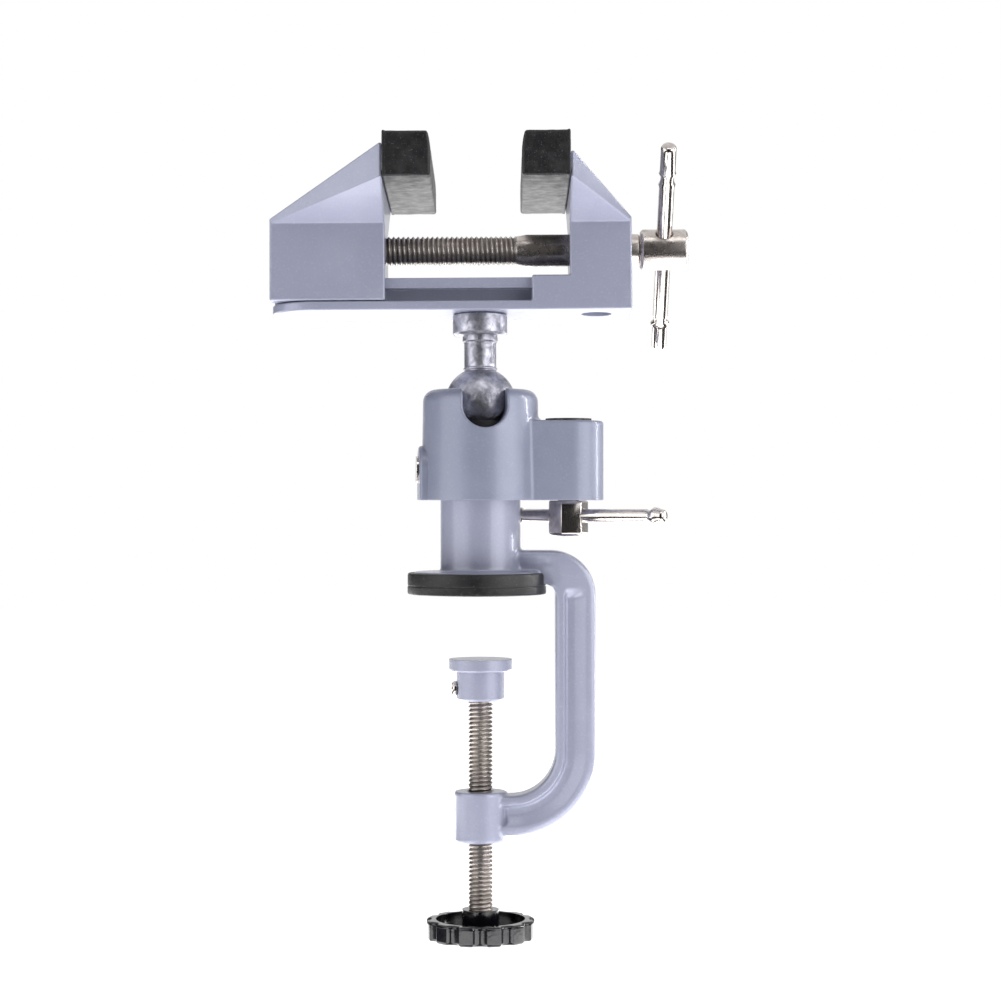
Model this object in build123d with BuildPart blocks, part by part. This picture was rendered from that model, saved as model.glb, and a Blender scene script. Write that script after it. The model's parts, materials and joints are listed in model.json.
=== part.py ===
from build123d import *

import os
from math import radians, sqrt, tan

# A ball vise that clamps on the edge of a table, in millimetres.
# The origin is on the swivel axis, in the face that rests on the table. +Z is up, +X points to the
# tommy bar of the vise and -Y to its front. The head stands as it was left: leaning back a little.

# Fits
running_gap = 0.05  # radial, on shafts, screws and slides
face_gap = 0.1  # between flat faces that move past each other
free_gap = 0.3  # where a pin, dog or head only has to clear
ball_gap = 0.1  # round the ball

# Thread form, as shares of the pitch
thread_depth_share = 0.61
thread_flank_share = 0.4
thread_crest_share = 0.2

# Table ring, flange and neck
ring_diameter = 45.0
ring_height = 7.0
ring_wall = 2.0
ring_floor = 2.0
ring_shift = -1.2  # the flange is cast off centre, away from the bar
ring_edge = 0.6
flange_rise = 0.4  # the flange stands this far above the ring's lip
neck_diameter = 26.0
neck_height = 43.5
neck_edge = 0.6

# C-shaped frame
arm_top = 14.3
arm_thickness = 11.0
bar_inner = 24.2
bar_width = 13.0
frame_opening = 65.0  # from the table's face down to the lower arm
frame_depth = 12.0
frame_edge = 1.8
shoulder_radius = 14.3
armpit_radius = 3.3
bend_radius = 14.3
web_border = 3.0
web_recess = 3.3
web_corner = 3.2
web_fillet = 3.1
web_start = 2.7  # below the upper arm
web_end = 2.0  # from the axis of the boss, so that it runs out inside the boss
web_flat = 3.6  # the web's inner side has no fillet over this width
web_flat_corner = 1.5
hollow_recess = 1.8  # of the hollow in the upper arm
hollow_border = 4.4
hollow_margin = 2.5  # from the inner side of the bar
hollow_slope = 45
boss_diameter = 17.0
boss_height = 16.4
boss_rise = 1.1  # above the lower arm
boss_edge = 0.6

# Clamp pad, screw and handwheel
pad_drop = 21.0  # below the table's face, as it was left
pad_diameter = 20.4
pad_flange = 3.9
pad_hub_diameter = 15.4
pad_hub_height = 9.6
pad_edge = 0.7
clamp_thread = 7.94
clamp_pitch = 1.411
clamp_tip_diameter = 6.3
clamp_tip_length = 8.7
clamp_tip_groove = 1.0
clamp_screw_length = 85.2
pad_screw_drop = 5.9  # below the pad's flange
pad_screw_diameter = 3.0
pad_screw_head = 5.2
pad_screw_head_height = 1.7
pad_screw_dome = 1.0
pad_screw_dog = 2.0
wheel_diameter = 35.4
wheel_height = 6.4
wheel_rim = 3.2
wheel_web = 2.2
wheel_web_drop = 3.0
wheel_hub_diameter = 12.0
wheel_hub_rise = 3.1
wheel_foot = 0.8  # the wheel reaches this far past the screw's end
wheel_lobes = 12
wheel_scallop_radius = 2.6
wheel_scallop_depth = 1.5
wheel_edge = 1.0
insert_diameter = 9.4
insert_height = 7.0

# Ball housing, with its lock
housing_yaw = 5.5
housing_skirt = 13.0  # how far it reaches down over the neck
housing_diameter = 38.4
housing_draft = 0.96
housing_crown = 4.0
housing_over_ball = 4.2  # above the ball's centre
ball_diameter = 23.0
ball_over_neck = 7.1  # from the neck's top to the lowest point of the ball
notch_width = 14.2
notch_depth = 8.4  # below the ball's centre
notch_edge = 0.6
seat_lift = 0.3  # the seat's underside above the lowest point of the ball
seat_height = 5.1
seat_hole = 12.0
seat_chamfer = 3.0
lock_reach = 28.8
lock_boss_radius = 11.4
lock_boss_drop = 10.0  # below the top of the housing
lock_boss_edge = 1.0
lock_boss_valley = 2.0
lock_floor = 7.5
lock_bore_radius = 7.5
lock_screw_radius = 3.5
lock_screw_short = 0.2  # it ends this far below the top of its nut
lock_head_flats = 11.3
lock_head_height = 11.6
lock_head_edge = 0.7
lock_head_angle = 2.0
lock_bar_diameter = 4.5
lock_bar_drop = 5.0  # below the top of the lock screw's head
lock_bar_angle = -39.0
lock_bar_right = 36.4
lock_bar_left = 25.3
lock_crimp_right = 4.6  # from the bar's right end
lock_crimp_left = 7.0  # from its left end
wedge_under_cap = 0.7
wedge_height = 9.0
wedge_angle = 15.0
wedge_reach = 6.0
pin_diameter = 8.0
pin_nose = 2.8
cap_height = 5.0
cap_proud = 0.8
cap_slot_width = 2.0
cap_slot_depth = 1.6
set_screw_drop = 3.1  # below the neck's top
set_boss_radius = 7.7
set_boss_rise = 1.0  # beyond the side of the housing
set_boss_edge = 1.0
set_screw_diameter = 5.0
set_screw_head = 8.7
set_screw_head_height = 0.8
set_screw_dog = 2.6
set_groove_width = 3.0
set_groove_depth = 1.6

# Stud
stud_neck_diameter = 10.4
stud_step_diameter = 11.4
stud_step_height = 1.8
collar_diameter = 17.7
collar_height = 6.9
collar_edge = 0.6
spigot_diameter = 7.0
stud_screw_diameter = 4.0
stud_screw_length = 17.1
stud_screw_head = 10.0
stud_screw_head_height = 5.0
stud_screw_socket = 5.0
stud_screw_socket_depth = 2.6
stud_screw_sink = 1.2  # its head lies this far below the rail

# Vise head; heights are measured along the stud from the ball's centre
head_lean_angle = 3.7
body_width = 25.0
cast_edge = 0.6
plate_low = 28.8
plate_thickness = 3.0
rail_neck_width = 13.0
rail_neck_height = 4.4
rail_width = 20.0
rail_thickness = 3.3
rail_inset = 1.9  # the rail ends this far inside the plate's tip
step_length = 12.2
step_rise = 0.5  # above the rail
block_face = 29.1  # from the stud's axis
block_length = 19.9
block_rise = 7.3  # the jaw blocks reach this far above the main screw's axis
flare_width = 64.0
flare_rise = 11.4  # where the flare is full width, above the blocks
moving_flare_height = 22.4
fixed_flare_height = 19.9
flare_tail_thickness = 1.4
jaw_opening = 59.5  # between the jaw blocks, as it was left
jaw_length = 37.0
jaw_clear = 0.3
nose_width = 63.0
nose_rise = 1.8  # above the foot of the flare's upright side
nose_height = 9.2
nose_length = 12.5
jaw_pad_side = 2.5
jaw_pad_under = 2.4
jaw_pad_over = 3.2
jaw_pad_front = 3.0
jaw_pad_edge = 0.8

# Main screw, its handle and its retaining pin
screw_rise = 10.3  # the screw's axis above the rail
screw_thread = 9.5
screw_pitch = 1.5875
screw_inset = 9.4  # the screw ends this far inside the moving jaw's tail
screw_cone = 3.6
screw_shank = 10.4
screw_shank_out = 13.9  # in front of the fixed block
screw_head_gap = 3.3
screw_head_diameter = 13.3
screw_head_length = 15.4
screw_head_edge = 0.8
bar_diameter = 5.0
bar_length = 81.0
bar_angle = 45.7
bar_end_edge = 0.9
crimp_inset = 10.5  # from each end of the bar
crimp_spread = 1.3
crimp_length = 2.0
keeper_from_face = 8.8
keeper_diameter = 5.0
keeper_dog = 3.0
keeper_groove_width = 3.4
keeper_groove_depth = 1.3
keeper_counterbore = 9.9
keeper_counterbore_depth = 5.0

# Worked out from the sizes above: the clamp
neck_radius = neck_diameter / 2
flange_top = ring_height + flange_rise
bar_outer = bar_inner + bar_width
arm_bottom = arm_top - arm_thickness
web_top = arm_bottom - web_start
lower_arm_top = -frame_opening
lower_arm_bottom = lower_arm_top - bar_width
boss_top = lower_arm_top + boss_rise
pad_top = -pad_drop
pad_height = pad_flange + pad_hub_height
pad_bottom = pad_top - pad_height
pad_screw_height = pad_top - pad_flange - pad_screw_drop
clamp_screw_top = pad_bottom + clamp_tip_length
clamp_screw_end = clamp_screw_top - clamp_screw_length
wheel_bottom = clamp_screw_end - wheel_foot
wheel_top = wheel_bottom + wheel_height
wheel_hub_top = wheel_top + wheel_hub_rise

# The ball, its housing and the lock
ball_radius = ball_diameter / 2
socket_radius = ball_radius + ball_gap
ball_height = neck_height + ball_over_neck + ball_radius
bore_radius = neck_radius + running_gap
housing_bottom = neck_height - housing_skirt
housing_top = ball_height + housing_over_ball
notch_bottom = ball_height - notch_depth
seat_bottom = ball_height - ball_radius + seat_lift
seat_top = seat_bottom + seat_height
shoulder_height = seat_top + face_gap
pin_height = neck_height + face_gap + pin_diameter / 2
lock_boss_top = housing_top - lock_boss_drop
cap_bottom = lock_boss_top + cap_proud - cap_height
wedge_top = cap_bottom - wedge_under_cap
lock_screw_top = wedge_top - lock_screw_short
lock_head_top = housing_bottom - face_gap
lock_bar_height = lock_head_top - lock_bar_drop
set_screw_height = neck_height - set_screw_drop
set_boss_end = housing_diameter / 2 + set_boss_rise

# The head, along and above the stud's axis
plate_top = plate_low + plate_thickness
rail_low = plate_top + rail_neck_height
rail_top = rail_low + rail_thickness
step_top = rail_top + step_rise
screw_height = rail_top + screw_rise
block_top = screw_height + block_rise
flare_low = block_top + flare_rise
nose_low = flare_low + nose_rise
collar_top = plate_low - face_gap
collar_low = collar_top - collar_height
stud_step_low = collar_low - stud_step_height
counterbore_floor = rail_top - stud_screw_head_height - stud_screw_sink
stud_screw_seat = counterbore_floor + face_gap
stud_screw_end = stud_screw_seat - stud_screw_length
block_end = block_face + block_length
step_start = block_face - step_length
jaw_face = block_face - jaw_opening
jaw_tail = jaw_face - jaw_length
plate_tip = jaw_tail
rail_start = plate_tip + rail_inset
screw_radius = screw_shank / 2
screw_left_end = jaw_tail + screw_inset
screw_shank_start = block_face - screw_shank_out
screw_thread_end = screw_shank_start - screw_cone
screw_head_start = block_end + screw_head_gap
bar_x = screw_head_start + screw_head_length / 2
bar_crimp = bar_length / 2 - crimp_inset
keeper_x = block_face + keeper_from_face

# Where the housing and the head stand
housing_at = Location((0, 0, 0), (0, 0, housing_yaw))
ball_at = Location((0, 0, ball_height)) * housing_at * Location((0, 0, 0), (-head_lean_angle, 0, 0))
head_at = ball_at * Location((0, 0, 0), (0, 0, -housing_yaw))
screw_at = head_at * Location((0, 0, screw_height))
housing_plane = Plane(housing_at)
housing_side = Plane(housing_at * Plane.XZ.location)
housing_end = Plane(housing_at * Plane.YZ.location)
lock_plane = Plane(housing_at * Location((lock_reach, 0, 0)))
head_plane = Plane(head_at)
head_side = Plane(head_at * Plane.XZ.location)
head_end = Plane(head_at * Plane.YZ.location)
screw_side = Plane(screw_at * Plane.XZ.location)
screw_end = Plane(screw_at * Plane.YZ.location)
stud_axis = Axis(head_plane.origin, head_plane.z_dir)
screw_axis = Axis(screw_side.origin, screw_side.x_dir)

from_left = (Align.MIN, Align.CENTER)
from_below = (Align.CENTER, Align.MIN)
parts = []


def keep(builder, name):
    # Label a finished piece and remember it for the export.
    builder.part.label = name
    parts.append(builder.part)


def corner(sketch, x, y):
    # The corner of a sketch that lies nearest a point.
    return sketch.vertices().sort_by_distance((x, y, 0))[0]


def thread_rings(start, end, pitch, crest):
    # The saw-tooth outline of a thread, as rings: (place along the axis, radius).
    depth = thread_depth_share * pitch
    flank = thread_flank_share * pitch
    flat = thread_crest_share * pitch
    turns = int((end - start) / pitch)
    points = []
    for turn in range(turns):
        low = start + turn * pitch
        points.append((low, crest - depth))
        points.append((low + flank, crest))
        points.append((low + flank + flat, crest))
    points.append((start + turns * pitch, crest - depth))
    return points


def web_outline(plane, top, outer, top_corner):
    # The recess of the frame's web in a plane, between its inner border and an outer side.
    inner = bar_inner + web_border
    low = bar_outer - outer + lower_arm_bottom
    high = lower_arm_top - web_border
    with BuildSketch(plane) as web:
        with BuildLine():
            Polyline(
                (inner, top),
                (outer, top),
                (outer, low),
                (web_end, low),
                (web_end, high),
                (inner, high),
                close=True,
            )
        make_face()
        fillet(corner(web, outer, low), bend_radius + outer - bar_inner)
        fillet(corner(web, inner, high), bend_radius + web_border)
        fillet(corner(web, inner, top), top_corner)
        fillet(corner(web, outer, top), top_corner)
    return web.sketch


# ---- C-shaped frame ----
with BuildPart() as c_frame:
    with BuildSketch(Plane.XZ) as frame_outline:
        with BuildLine():
            Polyline(
                (0, arm_top),
                (bar_outer, arm_top),
                (bar_outer, lower_arm_bottom),
                (0, lower_arm_bottom),
                (0, lower_arm_top),
                (bar_inner, lower_arm_top),
                (bar_inner, arm_bottom),
                (0, arm_bottom),
                close=True,
            )
        make_face()
        fillet(corner(frame_outline, bar_outer, arm_top), shoulder_radius)
        fillet(corner(frame_outline, bar_outer, lower_arm_bottom), bend_radius + bar_width)
        fillet(corner(frame_outline, bar_inner, lower_arm_top), bend_radius)
        fillet(corner(frame_outline, bar_inner, arm_bottom), armpit_radius)
    extrude(amount=frame_depth / 2, both=True)
    fillet(c_frame.faces().filter_by(Axis.Y).edges(), frame_edge)
    for side in (-1, 1):
        web_plane = Plane.XZ.offset(side * (frame_depth / 2 - web_recess))
        extrude(
            web_outline(web_plane, web_top, bar_outer - web_border, web_corner),
            amount=side * web_recess,
            mode=Mode.SUBTRACT,
        )
    web_floor = frame_depth / 2 - web_recess
    floors = c_frame.faces().filter_by(Axis.Y)
    floors = floors.filter_by(lambda face: abs(abs(face.center().Y) - web_floor) < face_gap)
    fillet(floors.edges(), web_fillet)
    for side in (-1, 1):
        web_plane = Plane.XZ.offset(side * web_floor)
        extrude(
            web_outline(web_plane, web_top - web_fillet, bar_inner + web_border + web_flat, web_flat_corner),
            amount=side * web_recess,
            mode=Mode.SUBTRACT,
        )
    for side in (-1, 1):
        with BuildSketch(Plane.XZ.offset(side * (frame_depth / 2 - hollow_recess))) as hollow:
            with Locations((0, arm_top - hollow_border)):
                Rectangle(bar_inner - hollow_margin, arm_thickness, align=(Align.MIN, Align.MAX))
            fillet(corner(hollow, bar_inner - hollow_margin, arm_top - hollow_border), web_corner)
        extrude(amount=side * hollow_recess, taper=-hollow_slope, mode=Mode.SUBTRACT)
    with BuildSketch(Plane.XY.offset(ring_floor)):
        with Locations((ring_shift, 0)):
            Circle(ring_diameter / 2 - ring_wall)
    extrude(amount=flange_top - ring_floor)
    with BuildSketch(Plane.XY.offset(ring_floor)):
        Circle(neck_radius)
    extrude(amount=neck_height - ring_floor)
    chamfer(c_frame.edges().group_by(Axis.Z)[-1], neck_edge)
    with BuildSketch(Plane.XY.offset(set_screw_height - set_groove_width / 2)):
        Circle(neck_radius)
        Circle(neck_radius - set_groove_depth, mode=Mode.SUBTRACT)
    extrude(amount=set_groove_width, mode=Mode.SUBTRACT)
    with BuildSketch(Plane.XY.offset(boss_top)):
        Circle(boss_diameter / 2)
    extrude(amount=-boss_height)
    fillet(c_frame.edges().group_by(Axis.Z)[0], boss_edge)
    with BuildSketch(Plane.XY.offset(boss_top)):
        Circle(clamp_thread / 2 + running_gap)
    extrude(amount=-boss_height, mode=Mode.SUBTRACT)
keep(c_frame, "c_frame")

# ---- Rubber ring under the flange ----
with BuildPart() as base_ring:
    with BuildSketch(Plane.XY):
        with Locations((ring_shift, 0)):
            Circle(ring_diameter / 2)
    extrude(amount=ring_height)
    fillet(base_ring.edges(), ring_edge)
    with BuildSketch(Plane.XY.offset(ring_floor)):
        with Locations((ring_shift, 0)):
            Circle(ring_diameter / 2 - ring_wall)
    extrude(amount=ring_height, mode=Mode.SUBTRACT)
    with BuildSketch(Plane.XY.offset(arm_bottom - face_gap)):
        Rectangle(ring_diameter, frame_depth + 2 * face_gap, align=from_left)
    extrude(amount=ring_height, mode=Mode.SUBTRACT)
keep(base_ring, "base_ring")

# ---- Clamp pad ----
with BuildPart() as clamp_pad:
    with BuildSketch(Plane.XY.offset(pad_top)):
        Circle(pad_diameter / 2)
    extrude(amount=-pad_flange)
    fillet(clamp_pad.edges().group_by(Axis.Z)[0], pad_edge)
    with BuildSketch(Plane.XY.offset(pad_top - pad_flange)):
        Circle(pad_hub_diameter / 2)
    extrude(amount=-(pad_height - pad_flange))
    chamfer(clamp_pad.edges().group_by(Axis.Z)[0], pad_edge)
    with BuildSketch(Plane.XY.offset(pad_bottom)):
        Circle(clamp_tip_diameter / 2 + running_gap)
    extrude(amount=clamp_tip_length + free_gap, mode=Mode.SUBTRACT)
    with BuildSketch(Plane.YZ.offset(-pad_hub_diameter)):
        with Locations((0, pad_screw_height)):
            Circle(pad_screw_diameter / 2)
    extrude(amount=pad_hub_diameter, mode=Mode.SUBTRACT)
keep(clamp_pad, "clamp_pad")

# ---- Screw that keeps the pad on the clamp screw ----
with BuildPart() as clamp_pad_screw:
    head_face = -pad_hub_diameter / 2
    with BuildSketch(Plane.YZ.offset(head_face)):
        with Locations((0, pad_screw_height)):
            Circle(pad_screw_head / 2)
    extrude(amount=-pad_screw_head_height)
    fillet(clamp_pad_screw.edges().group_by(Axis.X)[0], pad_screw_dome)
    with BuildSketch(Plane.YZ.offset(head_face)):
        with Locations((0, pad_screw_height)):
            Circle(pad_screw_diameter / 2)
    extrude(amount=-head_face - clamp_tip_diameter / 2 - free_gap)
    with BuildSketch(Plane.YZ.offset(-clamp_tip_diameter / 2 - free_gap)):
        with Locations((0, pad_screw_height)):
            Circle(pad_screw_dog / 2)
    extrude(amount=clamp_tip_groove)
keep(clamp_pad_screw, "clamp_pad_screw")

# ---- Clamp screw ----
with BuildPart() as clamp_screw:
    tip_radius = clamp_tip_diameter / 2
    groove = pad_screw_dog / 2 + free_gap
    with BuildSketch(Plane.XZ):
        rings = thread_rings(wheel_hub_top, pad_bottom - face_gap, clamp_pitch, clamp_thread / 2)
        outline = [(0, clamp_screw_end), (tip_radius, clamp_screw_end), (tip_radius, wheel_hub_top)]
        outline += [(radius, height) for height, radius in rings]
        outline += [
            (tip_radius, rings[-1][0]),
            (tip_radius, pad_screw_height - groove),
            (tip_radius - clamp_tip_groove, pad_screw_height - groove),
            (tip_radius - clamp_tip_groove, pad_screw_height + groove),
            (tip_radius, pad_screw_height + groove),
            (tip_radius, clamp_screw_top),
            (0, clamp_screw_top),
        ]
        with BuildLine():
            Polyline(*outline, close=True)
        make_face()
    revolve(axis=Axis.Z)
keep(clamp_screw, "clamp_screw")

# ---- Metal bush moulded into the handwheel ----
with BuildPart() as handwheel_insert:
    with BuildSketch(Plane.XY.offset(wheel_hub_top)):
        RegularPolygon(insert_diameter / 2, 6)
        Circle(clamp_tip_diameter / 2, mode=Mode.SUBTRACT)
    extrude(amount=-insert_height)
keep(handwheel_insert, "handwheel_insert")

# ---- Handwheel ----
with BuildPart() as handwheel:
    scallop_place = wheel_diameter / 2 + wheel_scallop_radius - wheel_scallop_depth
    with BuildSketch(Plane.XY.offset(wheel_top)):
        Circle(wheel_diameter / 2)
        with PolarLocations(scallop_place, wheel_lobes):
            Circle(wheel_scallop_radius, mode=Mode.SUBTRACT)
    extrude(amount=-wheel_height)
    fillet(handwheel.faces().filter_by(Axis.Z).edges(), wheel_edge)
    web_radius = wheel_diameter / 2 - wheel_rim
    with BuildSketch(Plane.XY.offset(wheel_top)):
        Circle(web_radius)
    extrude(amount=-wheel_web_drop, mode=Mode.SUBTRACT)
    with BuildSketch(Plane.XY.offset(wheel_bottom)):
        Circle(web_radius)
    extrude(amount=wheel_height - wheel_web_drop - wheel_web, mode=Mode.SUBTRACT)
    with BuildSketch(Plane.XY.offset(wheel_hub_top)):
        Circle(wheel_hub_diameter / 2)
    extrude(amount=clamp_screw_end - wheel_hub_top)
    with BuildSketch(Plane.XY.offset(wheel_hub_top)):
        RegularPolygon(insert_diameter / 2, 6)
    extrude(amount=-insert_height, mode=Mode.SUBTRACT)
    with BuildSketch(Plane.XY.offset(wheel_hub_top)):
        Circle(clamp_tip_diameter / 2)
    extrude(amount=clamp_screw_end - wheel_hub_top, mode=Mode.SUBTRACT)
keep(handwheel, "handwheel")

# ---- Ball housing ----
with BuildPart() as ball_housing:
    with BuildSketch(housing_plane.offset(housing_bottom)):
        Circle(housing_diameter / 2)
    extrude(amount=housing_top - housing_bottom, taper=housing_draft)
    fillet(ball_housing.edges().group_by(Axis.Z)[-1], housing_crown)
    with BuildSketch(housing_plane.offset(housing_bottom)):
        Rectangle(lock_reach, 2 * lock_boss_radius, align=from_left)
        with Locations((lock_reach, 0)):
            Circle(lock_boss_radius)
    extrude(amount=lock_boss_top - housing_bottom)
    boss_rim = ball_housing.faces().filter_by(Axis.Z).group_by(Axis.Z)[-2].edges()
    fillet(boss_rim.sort_by(SortBy.LENGTH)[-1], lock_boss_edge)
    upright = ball_housing.edges().filter_by(lambda edge: abs((edge @ 0 - edge @ 1).Z) > lock_floor)
    fillet(upright.filter_by(GeomType.BSPLINE), lock_boss_valley)
    with BuildSketch(housing_end):
        with Locations((0, set_screw_height)):
            Circle(set_boss_radius)
        with Locations((0, (set_screw_height + housing_bottom) / 2)):
            Rectangle(2 * set_boss_radius, set_screw_height - housing_bottom)
    extrude(amount=-set_boss_end)
    boss_end = ball_housing.faces().filter_by(GeomType.PLANE).sort_by(Axis.X)[0]
    above = housing_bottom + set_boss_edge
    boss_arch = boss_end.edges().filter_by(lambda edge: max((edge @ 0).Z, (edge @ 1).Z) > above)
    fillet(boss_arch, set_boss_edge)
    with BuildSketch(housing_plane.offset(housing_bottom)):
        Circle(bore_radius)
    extrude(amount=shoulder_height - housing_bottom, mode=Mode.SUBTRACT)
    with BuildSketch(housing_plane.offset(shoulder_height)):
        Circle(socket_radius)
    extrude(amount=ball_height - shoulder_height, mode=Mode.SUBTRACT)
    with Locations((0, 0, ball_height)):
        Sphere(socket_radius, mode=Mode.SUBTRACT)
    with BuildSketch(housing_side):
        with Locations((0, notch_bottom + notch_width / 2)):
            Circle(notch_width / 2)
            Rectangle(notch_width, housing_top, align=from_below)
    extrude(amount=housing_diameter, mode=Mode.SUBTRACT)
    mouth = (housing_at * Location((0, -housing_diameter / 2, 0))).position
    reach = notch_width / 2 + notch_edge
    crown_foot = housing_diameter / 2 - housing_crown - notch_edge
    rim = ball_housing.edges().filter_by(lambda edge: (edge @ 0.5).Y < -crown_foot)
    rim = rim.filter_by(lambda edge: (edge @ 0.5).Z > notch_bottom - notch_edge)
    rim = rim.filter_by(lambda edge: abs((edge @ 0.5).X - mouth.X) < reach)
    fillet(rim, notch_edge)
    with BuildSketch(lock_plane.offset(housing_bottom)):
        Circle(lock_screw_radius + running_gap)
    extrude(amount=lock_floor, mode=Mode.SUBTRACT)
    with BuildSketch(lock_plane.offset(housing_bottom + lock_floor)):
        Circle(lock_bore_radius)
    extrude(amount=lock_boss_top - housing_bottom - lock_floor, mode=Mode.SUBTRACT)
    with BuildSketch(housing_end):
        with Locations((0, pin_height)):
            Circle(pin_diameter / 2 + running_gap)
    extrude(amount=lock_reach, mode=Mode.SUBTRACT)
    with BuildSketch(housing_end):
        with Locations((0, set_screw_height)):
            Circle(set_screw_diameter / 2)
    extrude(amount=-set_boss_end, mode=Mode.SUBTRACT)
keep(ball_housing, "ball_housing")

# ---- Screw that keeps the housing on the neck ----
with BuildPart() as neck_set_screw:
    with BuildSketch(housing_end.offset(-set_boss_end)):
        with Locations((0, set_screw_height)):
            Circle(set_screw_head / 2)
    extrude(amount=-set_screw_head_height)
    with BuildSketch(housing_end.offset(-set_boss_end)):
        with Locations((0, set_screw_height)):
            Circle(set_screw_diameter / 2)
    extrude(amount=set_boss_end - bore_radius - free_gap)
    with BuildSketch(housing_end.offset(-set_boss_end)):
        with Locations((0, set_screw_height)):
            Circle(set_screw_dog / 2)
    extrude(amount=set_boss_end - neck_radius + set_groove_depth - free_gap)
keep(neck_set_screw, "neck_set_screw")

# ---- Seat under the ball ----
with BuildPart() as ball_seat:
    with BuildSketch(housing_side):
        outer = bore_radius
        with BuildLine():
            Polyline(
                (seat_hole / 2, seat_bottom),
                (outer - seat_chamfer, seat_bottom),
                (outer, seat_bottom + seat_chamfer),
                (outer, seat_top),
                (seat_hole / 2, seat_top),
                close=True,
            )
        make_face()
    revolve(axis=Axis.Z)
    with Locations((0, 0, ball_height)):
        Sphere(socket_radius, mode=Mode.SUBTRACT)
keep(ball_seat, "ball_seat")

# ---- Pin that wedges the seat up against the ball ----
with BuildPart() as thrust_pin:
    nose_start = bore_radius - seat_chamfer - seat_bottom + pin_height + pin_diameter / 2
    nose_start += face_gap * sqrt(2)
    tail = lock_reach - wedge_reach - face_gap
    slope = tan(radians(wedge_angle))
    half = pin_diameter / 2
    with BuildSketch(housing_side):
        with BuildLine():
            Polyline(
                (nose_start - pin_nose, pin_height),
                (nose_start - pin_nose, pin_height + half - pin_nose),
                (nose_start, pin_height + half),
                (tail + half, pin_height + half),
                (tail + half, pin_height),
                close=True,
            )
        make_face()
    pin_axis = Axis((0, 0, pin_height), housing_side.x_dir)
    revolve(axis=pin_axis)
    with BuildSketch(housing_side):
        with BuildLine():
            Polyline(
                (tail - half * slope, pin_height + half),
                (tail + pin_diameter, pin_height + half),
                (tail + pin_diameter, pin_height - half),
                (tail + half * slope, pin_height - half),
                close=True,
            )
        make_face()
    extrude(amount=pin_diameter, both=True, mode=Mode.SUBTRACT)
keep(thrust_pin, "thrust_pin")

# ---- Nut with the slanted flat that drives the pin ----
with BuildPart() as wedge_nut:
    with BuildSketch(lock_plane.offset(wedge_top)):
        Circle(lock_bore_radius - running_gap)
        Circle(lock_screw_radius + running_gap, mode=Mode.SUBTRACT)
    extrude(amount=-wedge_height)
    flat = lock_reach - wedge_reach
    rise = wedge_height + pin_diameter
    with BuildSketch(housing_side):
        with BuildLine():
            Polyline(
                (flat - rise * slope, pin_height + rise),
                (flat - lock_bore_radius, pin_height + rise),
                (flat - lock_bore_radius, pin_height - rise),
                (flat + rise * slope, pin_height - rise),
                close=True,
            )
        make_face()
    extrude(amount=lock_boss_radius, both=True, mode=Mode.SUBTRACT)
keep(wedge_nut, "wedge_nut")

# ---- Plug in the top of the lock's bore ----
with BuildPart() as lock_cap:
    with BuildSketch(lock_plane.offset(lock_boss_top + cap_proud)):
        Circle(lock_bore_radius)
    extrude(amount=-cap_height)
    with BuildSketch(lock_plane.offset(lock_boss_top + cap_proud)):
        Rectangle(2 * lock_bore_radius, cap_slot_width)
    extrude(amount=-cap_slot_depth, mode=Mode.SUBTRACT)
keep(lock_cap, "lock_cap")

# ---- Lock screw, with the hexagonal head that holds its bar ----
bar_direction = Location((lock_reach, 0, lock_bar_height), (0, 0, lock_bar_angle))
bar_run = Plane(housing_at * bar_direction * Plane.YZ.location)
with BuildPart() as lock_screw:
    with BuildSketch(lock_plane.offset(lock_head_top)):
        RegularPolygon(lock_head_flats / 2, 6, major_radius=False, rotation=lock_head_angle)
    extrude(amount=-lock_head_height)
    chamfer(lock_screw.edges().group_by(Axis.Z)[0], lock_head_edge)
    with BuildSketch(lock_plane.offset(lock_head_top)):
        Circle(lock_screw_radius)
    extrude(amount=lock_screw_top - lock_head_top)
    with BuildSketch(bar_run):
        Circle(lock_bar_diameter / 2 + running_gap)
    extrude(amount=lock_head_flats, both=True, mode=Mode.SUBTRACT)
keep(lock_screw, "lock_screw")

# ---- Bar through the lock screw's head ----
with BuildPart() as lock_bar:
    with BuildSketch(bar_run.offset(-lock_bar_left)):
        Circle(lock_bar_diameter / 2)
    extrude(amount=lock_bar_left + lock_bar_right)
    fillet(lock_bar.edges().filter_by(GeomType.CIRCLE), bar_end_edge)
    for ear in (lock_bar_right - lock_crimp_right, lock_crimp_left - lock_bar_left):
        with BuildSketch(bar_run.offset(ear - crimp_length / 2)):
            Rectangle(lock_bar_diameter / 2, lock_bar_diameter + crimp_spread)
        extrude(amount=crimp_length)
keep(lock_bar, "lock_bar")

# ---- Ball and stud ----
with BuildPart() as ball_stud:
    neck_start = sqrt(ball_radius**2 - (stud_neck_diameter / 2) ** 2)
    ball_side = (ball_radius, 0)
    with BuildSketch(head_side):
        with BuildLine():
            ThreePointArc((0, -ball_radius), ball_side, (stud_neck_diameter / 2, neck_start))
            Polyline(
                (stud_neck_diameter / 2, neck_start),
                (stud_neck_diameter / 2, stud_step_low),
                (stud_step_diameter / 2, stud_step_low),
                (stud_step_diameter / 2, collar_low),
                (collar_diameter / 2 - collar_edge, collar_low),
                (collar_diameter / 2, collar_low + collar_edge),
                (collar_diameter / 2, collar_top),
                (spigot_diameter / 2, collar_top),
                (spigot_diameter / 2, stud_screw_seat),
                (stud_screw_diameter / 2, stud_screw_seat),
                (stud_screw_diameter / 2, stud_screw_end - free_gap),
                (0, stud_screw_end - free_gap),
                (0, -ball_radius),
            )
        make_face()
    revolve(axis=stud_axis)
keep(ball_stud, "ball_stud")

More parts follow.
